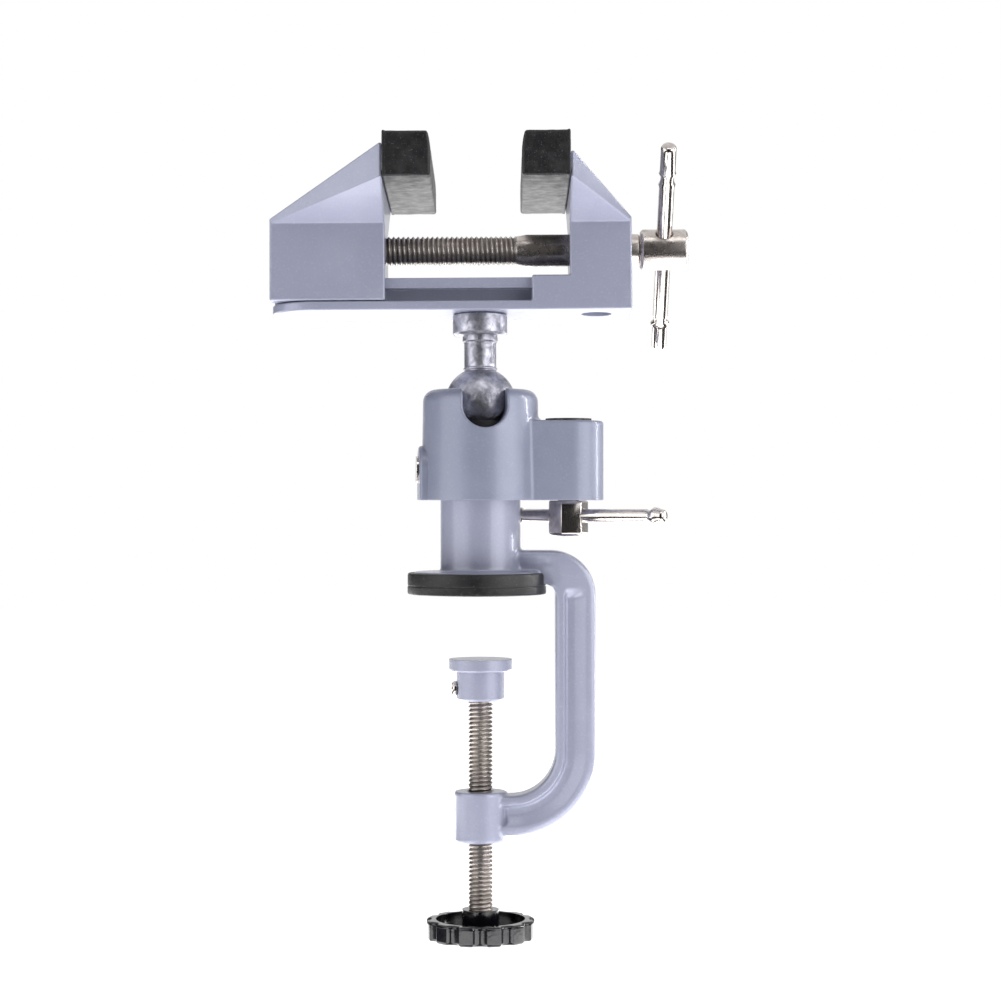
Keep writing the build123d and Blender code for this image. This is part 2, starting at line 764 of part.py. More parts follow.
# ---- Screw that holds the head on the stud ----
with BuildPart() as stud_screw:
    with BuildSketch(head_plane.offset(stud_screw_seat)):
        Circle(stud_screw_head / 2)
    extrude(amount=stud_screw_head_height)
    with BuildSketch(head_plane.offset(stud_screw_seat + stud_screw_head_height)):
        RegularPolygon(stud_screw_socket / 2, 6, major_radius=False)
    extrude(amount=-stud_screw_socket_depth, mode=Mode.SUBTRACT)
    with BuildSketch(head_plane.offset(stud_screw_seat)):
        Circle(stud_screw_diameter / 2)
    extrude(amount=-stud_screw_length)
keep(stud_screw, "stud_screw")


def jaw_flare(face, tail, height):
    # The wedge that spreads from the narrow jaw block to the wide seat of the pad: it is what
    # three outlines, seen from the end, the side and above, have in common.
    narrow = body_width / 2
    wide = flare_width / 2
    top = block_top + height
    with BuildPart() as flare:
        with BuildSketch(head_end.offset(face)):
            with BuildLine():
                Polyline(
                    (-narrow, block_top),
                    (narrow, block_top),
                    (wide, flare_low),
                    (wide, top),
                    (-wide, top),
                    (-wide, flare_low),
                    close=True,
                )
            make_face()
        extrude(amount=tail - face)
        with BuildSketch(head_side):
            with BuildLine():
                Polyline(
                    (face, block_top),
                    (tail, block_top),
                    (tail, block_top + flare_tail_thickness),
                    (face, top),
                    close=True,
                )
            make_face()
        extrude(amount=flare_width, both=True, mode=Mode.INTERSECT)
        with BuildSketch(head_plane):
            with BuildLine():
                Polyline(
                    (face, -wide),
                    (face, wide),
                    (tail, narrow),
                    (tail, -narrow),
                    close=True,
                )
            make_face()
        extrude(amount=2 * top, mode=Mode.INTERSECT)
    return flare.part


def jaw_pad(back, front):
    # A rubber cap, pushed over the nose of a jaw from the front: a block with a deep pocket.
    reach = front - back
    way = 1 if reach > 0 else -1
    with BuildPart() as pad:
        with BuildSketch(head_end.offset(back)):
            with Locations((0, nose_low - jaw_pad_under)):
                width = nose_width + 2 * jaw_pad_side
                height = jaw_pad_under + nose_height + jaw_pad_over
                Rectangle(width, height, align=from_below)
        extrude(amount=reach)
        fillet(pad.edges(), jaw_pad_edge)
        with BuildSketch(head_end.offset(back)):
            with Locations((0, nose_low + nose_height / 2)):
                Rectangle(nose_width, nose_height)
        extrude(amount=reach - way * jaw_pad_front, mode=Mode.SUBTRACT)
    return pad


fixed_flare = jaw_flare(block_face, block_end, fixed_flare_height)
moving_flare = jaw_flare(jaw_face, jaw_tail, moving_flare_height)

# ---- Head frame, with the rail and the fixed jaw ----
with BuildPart() as vise_frame:
    with BuildSketch(head_plane.offset(plate_low)):
        with Locations((plate_tip + body_width / 2, 0)):
            Circle(body_width / 2)
            Rectangle(block_end - plate_tip - body_width / 2, body_width, align=from_left)
    extrude(amount=plate_thickness)
    with BuildSketch(head_plane.offset(plate_top)):
        with Locations((step_start, 0)):
            Rectangle(block_end - step_start, body_width, align=from_left)
    extrude(amount=step_top - plate_top)
    with BuildSketch(head_plane.offset(step_top)):
        with Locations((block_face, 0)):
            Rectangle(block_end - block_face, body_width, align=from_left)
    extrude(amount=block_top - step_top)
    add(fixed_flare)
    fillet(vise_frame.edges(), cast_edge)
    with BuildSketch(head_plane.offset(plate_top)):
        with Locations((rail_start, 0)):
            Rectangle(step_start - rail_start, rail_neck_width, align=from_left)
    extrude(amount=rail_neck_height)
    with BuildSketch(head_plane.offset(rail_low)):
        with Locations((rail_start, 0)):
            Rectangle(step_start - rail_start, rail_width, align=from_left)
    extrude(amount=rail_thickness)
    with BuildSketch(head_end.offset(block_face)):
        with Locations((0, nose_low + nose_height / 2)):
            Rectangle(nose_width, nose_height)
    extrude(amount=-nose_length)
    with BuildSketch(screw_end.offset(step_start)):
        Circle(screw_radius + running_gap)
    extrude(amount=block_end, mode=Mode.SUBTRACT)
    with BuildSketch(head_plane.offset(plate_low)):
        Circle(spigot_diameter / 2 + running_gap)
    extrude(amount=counterbore_floor - plate_low, mode=Mode.SUBTRACT)
    with BuildSketch(head_plane.offset(counterbore_floor)):
        Circle(stud_screw_head / 2 + free_gap)
    extrude(amount=rail_top - counterbore_floor, mode=Mode.SUBTRACT)
    with BuildSketch(head_plane.offset(plate_low)):
        with Locations((keeper_x, 0)):
            Circle(keeper_counterbore / 2)
    extrude(amount=keeper_counterbore_depth, mode=Mode.SUBTRACT)
    with BuildSketch(head_plane.offset(plate_low)):
        with Locations((keeper_x, 0)):
            Circle(keeper_diameter / 2)
    extrude(amount=screw_height - plate_low, mode=Mode.SUBTRACT)
keep(vise_frame, "vise_frame")

# ---- Pin that keeps the main screw in the fixed jaw ----
with BuildPart() as screw_keeper:
    keeper_low = plate_low + keeper_counterbore_depth
    keeper_high = screw_height - screw_radius - free_gap
    with BuildSketch(head_plane.offset(keeper_low)):
        with Locations((keeper_x, 0)):
            Circle(keeper_diameter / 2)
    extrude(amount=keeper_high - keeper_low)
    with BuildSketch(head_plane.offset(keeper_high)):
        with Locations((keeper_x, 0)):
            Circle(keeper_dog / 2)
    extrude(amount=keeper_groove_depth)
keep(screw_keeper, "screw_keeper")

# ---- Moving jaw ----
with BuildPart() as moving_jaw:
    jaw_low = plate_top + jaw_clear
    with BuildSketch(head_plane.offset(jaw_low)):
        with Locations((jaw_tail, 0)):
            Rectangle(jaw_length, body_width, align=from_left)
    extrude(amount=block_top - jaw_low)
    add(moving_flare)
    fillet(moving_jaw.edges(), cast_edge)
    with BuildSketch(head_plane.offset(jaw_low)):
        with Locations((jaw_tail, 0)):
            Rectangle(jaw_length, rail_neck_width + 2 * face_gap, align=from_left)
    extrude(amount=rail_low - jaw_low, mode=Mode.SUBTRACT)
    with BuildSketch(head_plane.offset(rail_low - face_gap)):
        with Locations((jaw_tail, 0)):
            Rectangle(jaw_length, rail_width + 2 * face_gap, align=from_left)
    extrude(amount=rail_thickness + 2 * face_gap, mode=Mode.SUBTRACT)
    with BuildSketch(head_end.offset(jaw_face)):
        with Locations((0, nose_low + nose_height / 2)):
            Rectangle(nose_width, nose_height)
    extrude(amount=nose_length)
    with BuildSketch(screw_end.offset(jaw_face)):
        Circle(screw_thread / 2 + running_gap)
    extrude(amount=-jaw_length, mode=Mode.SUBTRACT)
keep(moving_jaw, "moving_jaw")

# ---- Rubber pads ----
pad_reach = nose_length + jaw_pad_front
moving_jaw_pad = jaw_pad(jaw_face, jaw_face + pad_reach)
keep(moving_jaw_pad, "moving_jaw_pad")
fixed_jaw_pad = jaw_pad(block_face, block_face - pad_reach)
keep(fixed_jaw_pad, "fixed_jaw_pad")

# ---- Main screw ----
bar_hole = Plane(screw_at * Location((bar_x, 0, 0), (bar_angle, 0, 0)))
with BuildPart() as main_screw:
    groove_radius = screw_radius - keeper_groove_depth
    head_radius = screw_head_diameter / 2
    head_end_x = screw_head_start + screw_head_length
    with BuildSketch(screw_side):
        with BuildLine():
            Polyline(
                (screw_left_end, 0),
                *thread_rings(screw_left_end, screw_thread_end, screw_pitch, screw_thread / 2),
                (screw_shank_start, screw_radius),
                (keeper_x - keeper_groove_width / 2, screw_radius),
                (keeper_x - keeper_groove_width / 2, groove_radius),
                (keeper_x + keeper_groove_width / 2, groove_radius),
                (keeper_x + keeper_groove_width / 2, screw_radius),
                (screw_head_start, screw_radius),
                (screw_head_start, head_radius - screw_head_edge),
                (screw_head_start + screw_head_edge, head_radius),
                (head_end_x - screw_head_edge, head_radius),
                (head_end_x, head_radius - screw_head_edge),
                (head_end_x, 0),
                close=True,
            )
        make_face()
    revolve(axis=screw_axis)
    with BuildSketch(bar_hole):
        Circle(bar_diameter / 2 + running_gap)
    extrude(amount=screw_head_diameter, both=True, mode=Mode.SUBTRACT)
keep(main_screw, "main_screw")

# ---- Tommy bar ----
with BuildPart() as tommy_bar:
    with BuildSketch(bar_hole.offset(-bar_length / 2)):
        Circle(bar_diameter / 2)
    extrude(amount=bar_length)
    fillet(tommy_bar.edges().filter_by(GeomType.CIRCLE), bar_end_edge)
    for ear in (-bar_crimp, bar_crimp):
        with BuildSketch(bar_hole.offset(ear - crimp_length / 2)):
            Rectangle(bar_diameter + crimp_spread, bar_diameter / 2)
        extrude(amount=crimp_length)
keep(tommy_bar, "tommy_bar")

os.makedirs("parts", exist_ok=True)
for part in parts:
    export_step(part, f"parts/{part.label}.step")
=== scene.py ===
import json
import math

import bpy
from mathutils import Matrix, Vector


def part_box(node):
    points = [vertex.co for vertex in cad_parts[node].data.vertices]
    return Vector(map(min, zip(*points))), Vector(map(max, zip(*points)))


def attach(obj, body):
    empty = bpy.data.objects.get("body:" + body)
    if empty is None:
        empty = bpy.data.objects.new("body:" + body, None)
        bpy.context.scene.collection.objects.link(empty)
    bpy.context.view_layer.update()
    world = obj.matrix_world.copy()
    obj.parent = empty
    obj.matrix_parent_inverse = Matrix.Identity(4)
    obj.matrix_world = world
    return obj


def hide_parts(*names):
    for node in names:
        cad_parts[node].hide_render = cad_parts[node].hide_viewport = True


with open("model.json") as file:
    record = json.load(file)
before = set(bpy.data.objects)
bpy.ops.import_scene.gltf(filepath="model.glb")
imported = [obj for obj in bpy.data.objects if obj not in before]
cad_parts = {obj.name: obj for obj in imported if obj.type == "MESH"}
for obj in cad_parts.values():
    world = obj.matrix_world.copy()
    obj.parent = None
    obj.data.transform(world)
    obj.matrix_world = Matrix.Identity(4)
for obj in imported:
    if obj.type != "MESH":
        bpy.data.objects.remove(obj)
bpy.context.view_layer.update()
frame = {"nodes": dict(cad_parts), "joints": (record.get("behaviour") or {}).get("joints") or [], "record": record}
cadNodes = frame["nodes"]
joints = {joint["name"]: joint for joint in frame["joints"]}
mm = 0.001  # pieces are modelled in millimetres and shrunk to metres when they are placed
print("frame loaded,", len(cadNodes), "nodes")


# where things are, from the joints
def alongOf(joint):
    return Vector(joints[joint]["axis"]).normalized()


def pointOf(joint):
    return Vector(joints[joint]["pos_m"])


def frameAt(origin, across, up):
    back = up.cross(across).normalized()
    return Matrix.Translation(origin) @ Matrix((across, back, up)).transposed().to_4x4()


skyward = Vector((0, 0, 1))
headUp = alongOf("head_spin")
headRight = alongOf("jaw_slide")
barWay = alongOf("tommy_bar_slide")
lockWay = alongOf("lock_bar_slide")
clampFrame = Matrix.Identity(4)
headFrame = frameAt(pointOf("ball_tilt"), headRight, headUp)
screwFrame = frameAt(pointOf("main_screw_turn"), barWay, headRight)
lockFrame = frameAt(pointOf("lock_screw_turn"), alongOf("ball_tilt"), skyward)

weldGap = 0.0005  # points nearer than this become one


# modelling helpers
def deselectAll():
    if bpy.context.object and bpy.context.object.mode != "OBJECT":
        bpy.ops.object.mode_set(mode="OBJECT")
    bpy.ops.object.select_all(action="DESELECT")


def pick(piece):
    deselectAll()
    piece.select_set(True)
    bpy.context.view_layer.objects.active = piece
    return piece


def applyAll(piece):
    pick(piece)
    for modifier in list(piece.modifiers):
        bpy.ops.object.modifier_apply(modifier=modifier.name)
    return piece


def tidyMesh(piece, gap=0.0008):
    pick(piece)
    bpy.ops.object.mode_set(mode="EDIT")
    bpy.ops.mesh.select_all(action="SELECT")
    bpy.ops.mesh.remove_doubles(threshold=gap)
    bpy.ops.mesh.normals_make_consistent(inside=False)
    bpy.ops.object.mode_set(mode="OBJECT")
    return piece


def drawLine(name, points):
    deselectAll()
    bpy.ops.mesh.primitive_plane_add(size=1, location=(0, 0, 0))
    line = bpy.context.object
    line.name = name
    bpy.ops.object.mode_set(mode="EDIT")
    bpy.ops.mesh.merge(type="CENTER")
    bpy.ops.transform.translate(value=points[0])
    for before, after in zip(points, points[1:]):
        step = Vector(after) - Vector(before)
        bpy.ops.mesh.extrude_region_move(TRANSFORM_OT_translate={"value": step})
    bpy.ops.object.mode_set(mode="OBJECT")
    return line


def selectVertices(piece, wanted):
    pick(piece)
    bpy.ops.object.mode_set(mode="EDIT")
    bpy.ops.mesh.select_mode(type="VERT")
    bpy.ops.mesh.select_all(action="DESELECT")
    bpy.ops.object.mode_set(mode="OBJECT")
    for vertex in piece.data.vertices:
        vertex.select = wanted(vertex.co)


def lathe(name, outline, steps=96):
    line = drawLine(name, [(radius, 0, height) for radius, height in outline])
    turn = line.modifiers.new("turn", "SCREW")
    turn.steps = turn.render_steps = steps
    turn.use_merge_vertices = True
    turn.merge_threshold = weldGap
    applyAll(line)
    return tidyMesh(line)


def arcPoints(centre, radius, start, end, count):
    # (radius, height) points on an arc of an outline, angles in degrees from the outward direction
    points = []
    for number in range(count + 1):
        angle = math.radians(start + (end - start) * number / count)
        points.append((centre[0] + radius * math.cos(angle), centre[1] + radius * math.sin(angle)))
    return points


def softenEdges(piece, width, segments=3, angle=30):
    bevel = piece.modifiers.new("soft", "BEVEL")
    bevel.width = width
    bevel.segments = segments
    bevel.limit_method = "ANGLE"
    bevel.angle_limit = math.radians(angle)
    bevel.use_clamp_overlap = True
    return applyAll(piece)


def cutWith(piece, cutter, way="DIFFERENCE"):
    cut = piece.modifiers.new("cut", "BOOLEAN")
    cut.operation = way
    cut.solver = "EXACT"
    cut.object = cutter
    applyAll(piece)
    bpy.data.objects.remove(cutter)
    return piece


def addBox(name, low, high):
    deselectAll()
    low, high = Vector(low), Vector(high)
    bpy.ops.mesh.primitive_cube_add(size=1, location=(low + high) / 2, scale=high - low)
    bpy.ops.object.transform_apply(location=True, rotation=True, scale=True)
    bpy.context.object.name = name
    return bpy.context.object


# one tooth of a thread: along, as a share of the pitch, and out, as a share of the depth
toothOutline = (
    (0, 0),
    (0.06, 0.03),
    (0.38, 0.86),
    (0.44, 1),
    (0.56, 1),
    (0.62, 0.86),
    (0.94, 0.03),
    (1, 0),
)
windSize = {
    "before": 1.5,  # turns wound before the thread's start, and cut off again
    "after": 2,  # turns wound past its end
    "seamGap": 0.002,
    "capGap": 0.0004,
}


def windThread(name, size, low, high, steps=48):
    # the tooth, drawn once, wound up along the Z axis and cut off at both ends
    depth = size["depth"]
    root = size["thread"] / 2 - depth
    start = low - windSize["before"] * size["pitch"]
    points = [(root + rise * depth, 0, start + share * size["pitch"]) for share, rise in toothOutline]
    line = drawLine(name, points)
    wind = line.modifiers.new("wind", "SCREW")
    wind.steps = wind.render_steps = steps
    wind.screw_offset = size["pitch"]
    wind.iterations = math.ceil((high - start) / size["pitch"]) + windSize["after"]
    applyAll(line)
    tidyMesh(line, windSize["seamGap"])
    for height, facing in ((low, 1), (high, -1)):
        bpy.ops.object.mode_set(mode="EDIT")
        bpy.ops.mesh.select_all(action="SELECT")
        bpy.ops.mesh.bisect(
            plane_co=(0, 0, height), plane_no=(0, 0, facing), use_fill=True, clear_inner=True
        )
        bpy.ops.object.mode_set(mode="OBJECT")
    return tidyMesh(line, windSize["capGap"])


def turnedTo(piece, place):
    # leave the object at the origin, with its place in its mesh
    piece.matrix_world = place
    pick(piece)
    bpy.ops.object.transform_apply(location=True, rotation=True, scale=True)
    return piece


def softSkin(piece, voxel, rounds):
    # a skin over joined lumps, as a mould leaves it: blended corners and rounded edges
    skin = piece.modifiers.new("skin", "REMESH")
    skin.mode = "VOXEL"
    skin.voxel_size = voxel
    if rounds:
        smooth = piece.modifiers.new("smooth", "SMOOTH")
        smooth.iterations = rounds
    return applyAll(piece)


def copyOf(node, name, place):
    # a merged copy of a solid, in millimetres in its own frame
    source = cadNodes[node]
    copy = bpy.data.objects.new(name, source.data.copy())
    bpy.context.scene.collection.objects.link(copy)
    turnedTo(copy, (place @ Matrix.Scale(mm, 4)).inverted())
    bpy.ops.object.mode_set(mode="EDIT")
    bpy.ops.mesh.select_all(action="SELECT")
    bpy.ops.mesh.remove_doubles(threshold=weldGap)
    bpy.ops.object.mode_set(mode="OBJECT")
    return copy


def dress(piece, finish):
    if not piece.material_slots:
        piece.data.materials.append(finish)
    for slot in piece.material_slots:
        slot.material = finish


def finishPiece(piece, place, body, slot, finish, *nodes, smooth=35):
    turnedTo(piece, place @ Matrix.Scale(mm, 4))
    bpy.ops.object.shade_smooth_by_angle(angle=math.radians(smooth))
    piece.data.materials.clear()
    dress(piece, finish)
    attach(piece, body)
    if nodes:
        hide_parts(*nodes)
    print("made", piece.name, len(piece.data.polygons), "faces")
    return piece


# camera, as the photograph was taken: level, from the front
viewpoint = {"x": 0.0065, "y": -0.768, "z": 0.0304, "lens": 85, "sensor": 36}
bpy.ops.object.camera_add(
    location=(viewpoint["x"], viewpoint["y"], viewpoint["z"]), rotation=(math.radians(90), 0, 0)
)
camera = bpy.context.object
camera.data.lens = viewpoint["lens"]
camera.data.sensor_width = viewpoint["sensor"]
camera.data.clip_start = 0.01
bpy.context.scene.camera = camera
bpy.context.scene.view_settings.view_transform = "Standard"


# node helpers
def addNode(tree, kind, inputs=None, **settings):
    node = tree.nodes.new(kind)
    for key, value in settings.items():
        setattr(node, key, value)
    for key, value in (inputs or {}).items():
        if isinstance(value, bpy.types.NodeSocket):
            tree.links.new(value, node.inputs[key])
        else:
            node.inputs[key].default_value = value
    return node


def objectCoords(tree):
    return addNode(tree, "ShaderNodeTexCoord").outputs["Object"]


def noiseOf(tree, coords, scale, detail=2.0, roughness=0.5, distortion=0.0):
    wanted = {"Vector": coords, "Scale": scale, "Detail": detail}
    wanted.update({"Roughness": roughness, "Distortion": distortion})
    return addNode(tree, "ShaderNodeTexNoise", wanted).outputs["Fac"]


def sums(tree, operation, first, second=0.0):
    return addNode(tree, "ShaderNodeMath", {0: first, 1: second}, operation=operation).outputs[0]


def plus(tree, first, second):
    return sums(tree, "ADD", first, second)


def times(tree, first, second):
    return sums(tree, "MULTIPLY", first, second)


def mixed(tree, first, second, amounts):
    return plus(tree, times(tree, first, amounts[0]), times(tree, second, amounts[1]))


def spread(tree, value, low, high, toLow=0.0, toHigh=1.0):
    wanted = {"Value": value, "From Min": low, "From Max": high, "To Min": toLow, "To Max": toHigh}
    return addNode(tree, "ShaderNodeMapRange", wanted).outputs["Result"]


def blendColour(tree, share, first, second):
    mix = addNode(tree, "ShaderNodeMix", data_type="RGBA")
    for key, value in ((0, share), (6, first), (7, second)):
        if isinstance(value, bpy.types.NodeSocket):
            tree.links.new(value, mix.inputs[key])
        elif key == 0:
            mix.inputs[key].default_value = value
        else:
            mix.inputs[key].default_value = (*value, 1)
    return mix.outputs[2]


def bumpFrom(tree, height, distance, strength=1.0, normal=None):
    wanted = {"Height": height, "Distance": distance, "Strength": strength}
    if normal:
        wanted["Normal"] = normal
    return addNode(tree, "ShaderNodeBump", wanted).outputs["Normal"]


def placedCoords(tree, coords, place):
    # coordinates in a piece's own frame, still in metres
    back = place.inverted()
    wanted = {"Vector": coords, "Location": back.to_translation(), "Rotation": back.to_euler()}
    return addNode(tree, "ShaderNodeMapping", wanted).outputs["Vector"]


def scratchLines(tree, coords, scale, angle, width, sparse):
    # thin lines that run one way, broken up in patches
    stretch = (scale * 0.05, scale, scale * 0.3)
    wanted = {"Vector": coords, "Rotation": angle, "Scale": stretch}
    run = addNode(tree, "ShaderNodeMapping", wanted).outputs["Vector"]
    wave = noiseOf(tree, run, 1.0, 1.0, 0.4)
    off = sums(tree, "ABSOLUTE", sums(tree, "SUBTRACT", wave, 0.5))
    line = spread(tree, off, 0.0, width, 1.0, 0.0)
    patch = spread(tree, noiseOf(tree, coords, scale * 0.25, 1.0), sparse, sparse + 0.08)
    return times(tree, line, patch)


edgeTurn = (0.98, 0.8)  # how alike the two normals are where an edge starts and where it is full


def edgeShare(tree, radius):
    # how near an edge a point is, and the normal that rounds that edge
    rounded = addNode(tree, "ShaderNodeBevel", {"Radius": radius}, samples=6).outputs["Normal"]
    flat = addNode(tree, "ShaderNodeNewGeometry").outputs["Normal"]
    meet = addNode(tree, "ShaderNodeVectorMath", {0: rounded, 1: flat}, operation="DOT_PRODUCT")
    return spread(tree, meet.outputs["Value"], *edgeTurn), rounded


def newFinish(name, settings):
    finish = bpy.data.materials.new(name)
    finish.use_nodes = True
    shader = finish.node_tree.nodes["Principled BSDF"]
    for key, value in settings.items():
        shader.inputs[key].default_value = value
    return finish, finish.node_tree, shader


def plug(tree, socket, value):
    tree.links.new(value, socket)


# finishes; a share says from and to which value of a noise, and between which amounts, it rises
paintLook = {
    "base": (0.262, 0.272, 0.358),
    "pale": (0.34, 0.35, 0.44),
    "deep": (0.254, 0.264, 0.348),
    "edgeWearAndHighlight": (0.5, 0.51, 0.6),
    # paler at the edges: edge wear, together with a painted highlight where edges catch the light
    "rough": (0.3, 0.38),
    "metal": 0.15,
    "coat": 0.25,
    "coatRough": 0.08,
    "grain": 1400,
    "mottle": 420,
    "cloud": 45,
    "edge": 0.0005,
    "bump": 0.00002,
    "toneShare": (0.38, 0.62),
    "cloudShare": (0.5, 0.8, 0, 0.35),
    "flakeShare": (0.6, 0.75, 0, 0.3),
    "edgeWearAndHighlightShare": (0.4, 0.6, 0.15, 0.6),
    "roughShare": (0.3, 0.7),
    "toneMix": (0.5, 0.5),  # of grain and mottle
    "bumpMix": (0.45, 0.6),
    "bumpStrength": 0.8,
}
# a darker, rougher copy of the casting paint for the housing: the darker colour is painted shade, for the head's
# shadow on it
shadedHousingLook = dict(
    paintLook,
    base=(0.19, 0.203, 0.277),
    pale=(0.26, 0.274, 0.352),
    deep=(0.182, 0.195, 0.266),
    edgeWearAndHighlight=(0.4, 0.42, 0.51),
    rough=(0.36, 0.46),
    mottle=360,
    cloud=60,
)


def makePaint(name, look):
    coat = {"Coat Weight": look["coat"], "Coat Roughness": look["coatRough"]}
    finish, tree, shader = newFinish(name, {"Metallic": look["metal"], "IOR": 1.5, **coat})
    coords = objectCoords(tree)
    grain = noiseOf(tree, coords, look["grain"], 1.0, 0.5)
    mottle = noiseOf(tree, coords, look["mottle"], 2.0, 0.6)
    cloud = noiseOf(tree, coords, look["cloud"], 3.0, 0.55)
    near, rounded = edgeShare(tree, look["edge"])
    tone = mixed(tree, grain, mottle, look["toneMix"])
    colour = blendColour(tree, spread(tree, tone, *look["toneShare"]), look["deep"], look["base"])
    colour = blendColour(tree, spread(tree, cloud, *look["cloudShare"]), colour, look["pale"])
    colour = blendColour(tree, spread(tree, grain, *look["flakeShare"]), colour, look["pale"])
    # paler paint along edges, in patches: edge wear and a painted edge highlight
    edgeWearAndHighlight = times(tree, near, spread(tree, mottle, *look["edgeWearAndHighlightShare"]))
    colour = blendColour(tree, edgeWearAndHighlight, colour, look["edgeWearAndHighlight"])
    plug(tree, shader.inputs["Base Color"], colour)
    rough = spread(tree, mottle, *look["roughShare"], *look["rough"])
    plug(tree, shader.inputs["Roughness"], rough)
    height = mixed(tree, grain, mottle, look["bumpMix"])
    normal = bumpFrom(tree, height, look["bump"], look["bumpStrength"], rounded)
    plug(tree, shader.inputs["Normal"], normal)
    return finish


rubberLook = {
    "base": (0.006, 0.006, 0.007),
    "dust": (0.06, 0.06, 0.065),
    "rough": (0.36, 0.56),
    "grain": 2600,
    "lump": 260,
    "speck": 2200,
    "edge": 0.0004,
    "bump": 0.00006,
    "lumpShare": (0.45, 0.75, 0, 0.12),
    "speckShare": (0.66, 0.72),
    "roughShare": (0.3, 0.7),
    "speckDust": 0.7,
    "edgeDust": 0.25,
    "grainBump": 0.5,
    "bumpStrength": 0.6,
}


def makeRubber():
    look = rubberLook
    finish, tree, shader = newFinish("blackRubber", {"Specular IOR Level": 0.4, "IOR": 1.5})
    coords = objectCoords(tree)
    grain = noiseOf(tree, coords, look["grain"], 4.0, 0.7)
    lump = noiseOf(tree, coords, look["lump"], 3.0, 0.6)
    speck = spread(tree, noiseOf(tree, coords, look["speck"], 1.0), *look["speckShare"])
    near, rounded = edgeShare(tree, look["edge"])
    colour = blendColour(tree, spread(tree, lump, *look["lumpShare"]), look["base"], look["dust"])
    colour = blendColour(tree, times(tree, speck, look["speckDust"]), colour, look["dust"])
    colour = blendColour(tree, times(tree, near, look["edgeDust"]), colour, look["dust"])
    plug(tree, shader.inputs["Base Color"], colour)
    rough = spread(tree, lump, *look["roughShare"], *look["rough"])
    plug(tree, shader.inputs["Roughness"], rough)
    height = plus(tree, times(tree, grain, look["grainBump"]), lump)
    normal = bumpFrom(tree, height, look["bump"], look["bumpStrength"], rounded)
    plug(tree, shader.inputs["Normal"], normal)
    return finish


plasticLook = {
    "base": (0.004, 0.004, 0.006),
    "scuff": (0.03, 0.03, 0.036),
    "rough": (0.09, 0.18),
    "peel": 700,
    "cloud": 160,
    "scratch": 1100,
    "edge": 0.0003,
    "bump": 0.00004,
    "roughShare": (0.4, 0.7),
    "marks": {"angle": (0.2, 0.1, 0.4), "width": 0.012, "sparse": 0.57},
    "edgeScuff": 0.3,
    "marksScuff": 0.4,
    "marksRough": 0.2,
    "bumpStrength": 0.6,
}


def makePlastic():
    look = plasticLook
    finish, tree, shader = newFinish("glossyBlackPlastic", {"IOR": 1.52, "Specular IOR Level": 0.5})
    coords = objectCoords(tree)
    peel = noiseOf(tree, coords, look["peel"], 2.0, 0.5)
    cloud = noiseOf(tree, coords, look["cloud"], 3.0, 0.6)
    near, rounded = edgeShare(tree, look["edge"])
    marks = scratchLines(tree, coords, look["scratch"], **look["marks"])
    colour = blendColour(tree, times(tree, near, look["edgeScuff"]), look["base"], look["scuff"])
    colour = blendColour(tree, times(tree, marks, look["marksScuff"]), colour, look["scuff"])
    plug(tree, shader.inputs["Base Color"], colour)
    rough = spread(tree, cloud, *look["roughShare"], *look["rough"])
    rough = plus(tree, rough, times(tree, marks, look["marksRough"]))
    plug(tree, shader.inputs["Roughness"], rough)
    normal = bumpFrom(tree, peel, look["bump"], look["bumpStrength"], rounded)
    plug(tree, shader.inputs["Normal"], normal)
    return finish


metalLooks = {
    "nickel": {
        "light": (0.7, 0.655, 0.635),
        "dark": (0.47, 0.43, 0.41),
        "rough": (0.09, 0.2),
        "bump": 0.000015,
        "edge": 0.00025,
        "scratch": 1400,
    },
    "thread": {
        "light": (0.64, 0.59, 0.565),
        "dark": (0.4, 0.36, 0.335),
        "rough": (0.2, 0.34),
        "bump": 0.00003,
        "edge": 0.0002,
        "scratch": 1400,
    },
    "clampThread": {
        "light": (0.43, 0.39, 0.365),
        "dark": (0.26, 0.23, 0.21),
        "rough": (0.22, 0.36),
        "bump": 0.00003,
        "edge": 0.0002,
        "scratch": 1400,
    },
    "zinc": {
        "light": (0.52, 0.52, 0.59),
        "dark": (0.2, 0.2, 0.235),
        "rough": (0.3, 0.48),
        "bump": 0.00022,
        "edge": 0.0003,
        "scratch": 700,
    },
    "darkSteel": {
        "light": (0.12, 0.12, 0.125),
        "dark": (0.035, 0.035, 0.038),
        "rough": (0.35, 0.6),
        "bump": 0.00008,
        "edge": 0.0003,
        "scratch": 900,
    },
    "brass": {
        "light": (0.78, 0.57, 0.28),
        "dark": (0.5, 0.34, 0.15),
        "rough": (0.2, 0.35),
        "bump": 0.00003,
        "edge": 0.0003,
        "scratch": 1200,
    },
}


# what all the metals share
metalNoise = {
    "fine": 2400,
    "mottle": 330,
    "cloud": 95,
    "toneMix": (0.6, 0.4),  # of mottle and cloud
    "toneShare": (0.4, 0.62),
    "roughShare": (0.38, 0.66),
    "marks": {"angle": (0.1, 0.2, 0.5), "width": 0.014, "sparse": 0.5},
    "crossMarks": {"angle": (1.4, 0.3, -0.8), "width": 0.01, "sparse": 0.56},
    "edgeLight": 0.5,
    # the dark colour that the thread roots take, in patches
    "rootDarkening": (0.05, 0.04, 0.035),
    "rootDarkeningShare": (0.3, 0.6, 0.4, 0.8),
    "rootDarkeningRough": 0.35,
    "marksRough": 0.12,
    "fineBump": 0.2,
    "marksBump": 0.3,
}


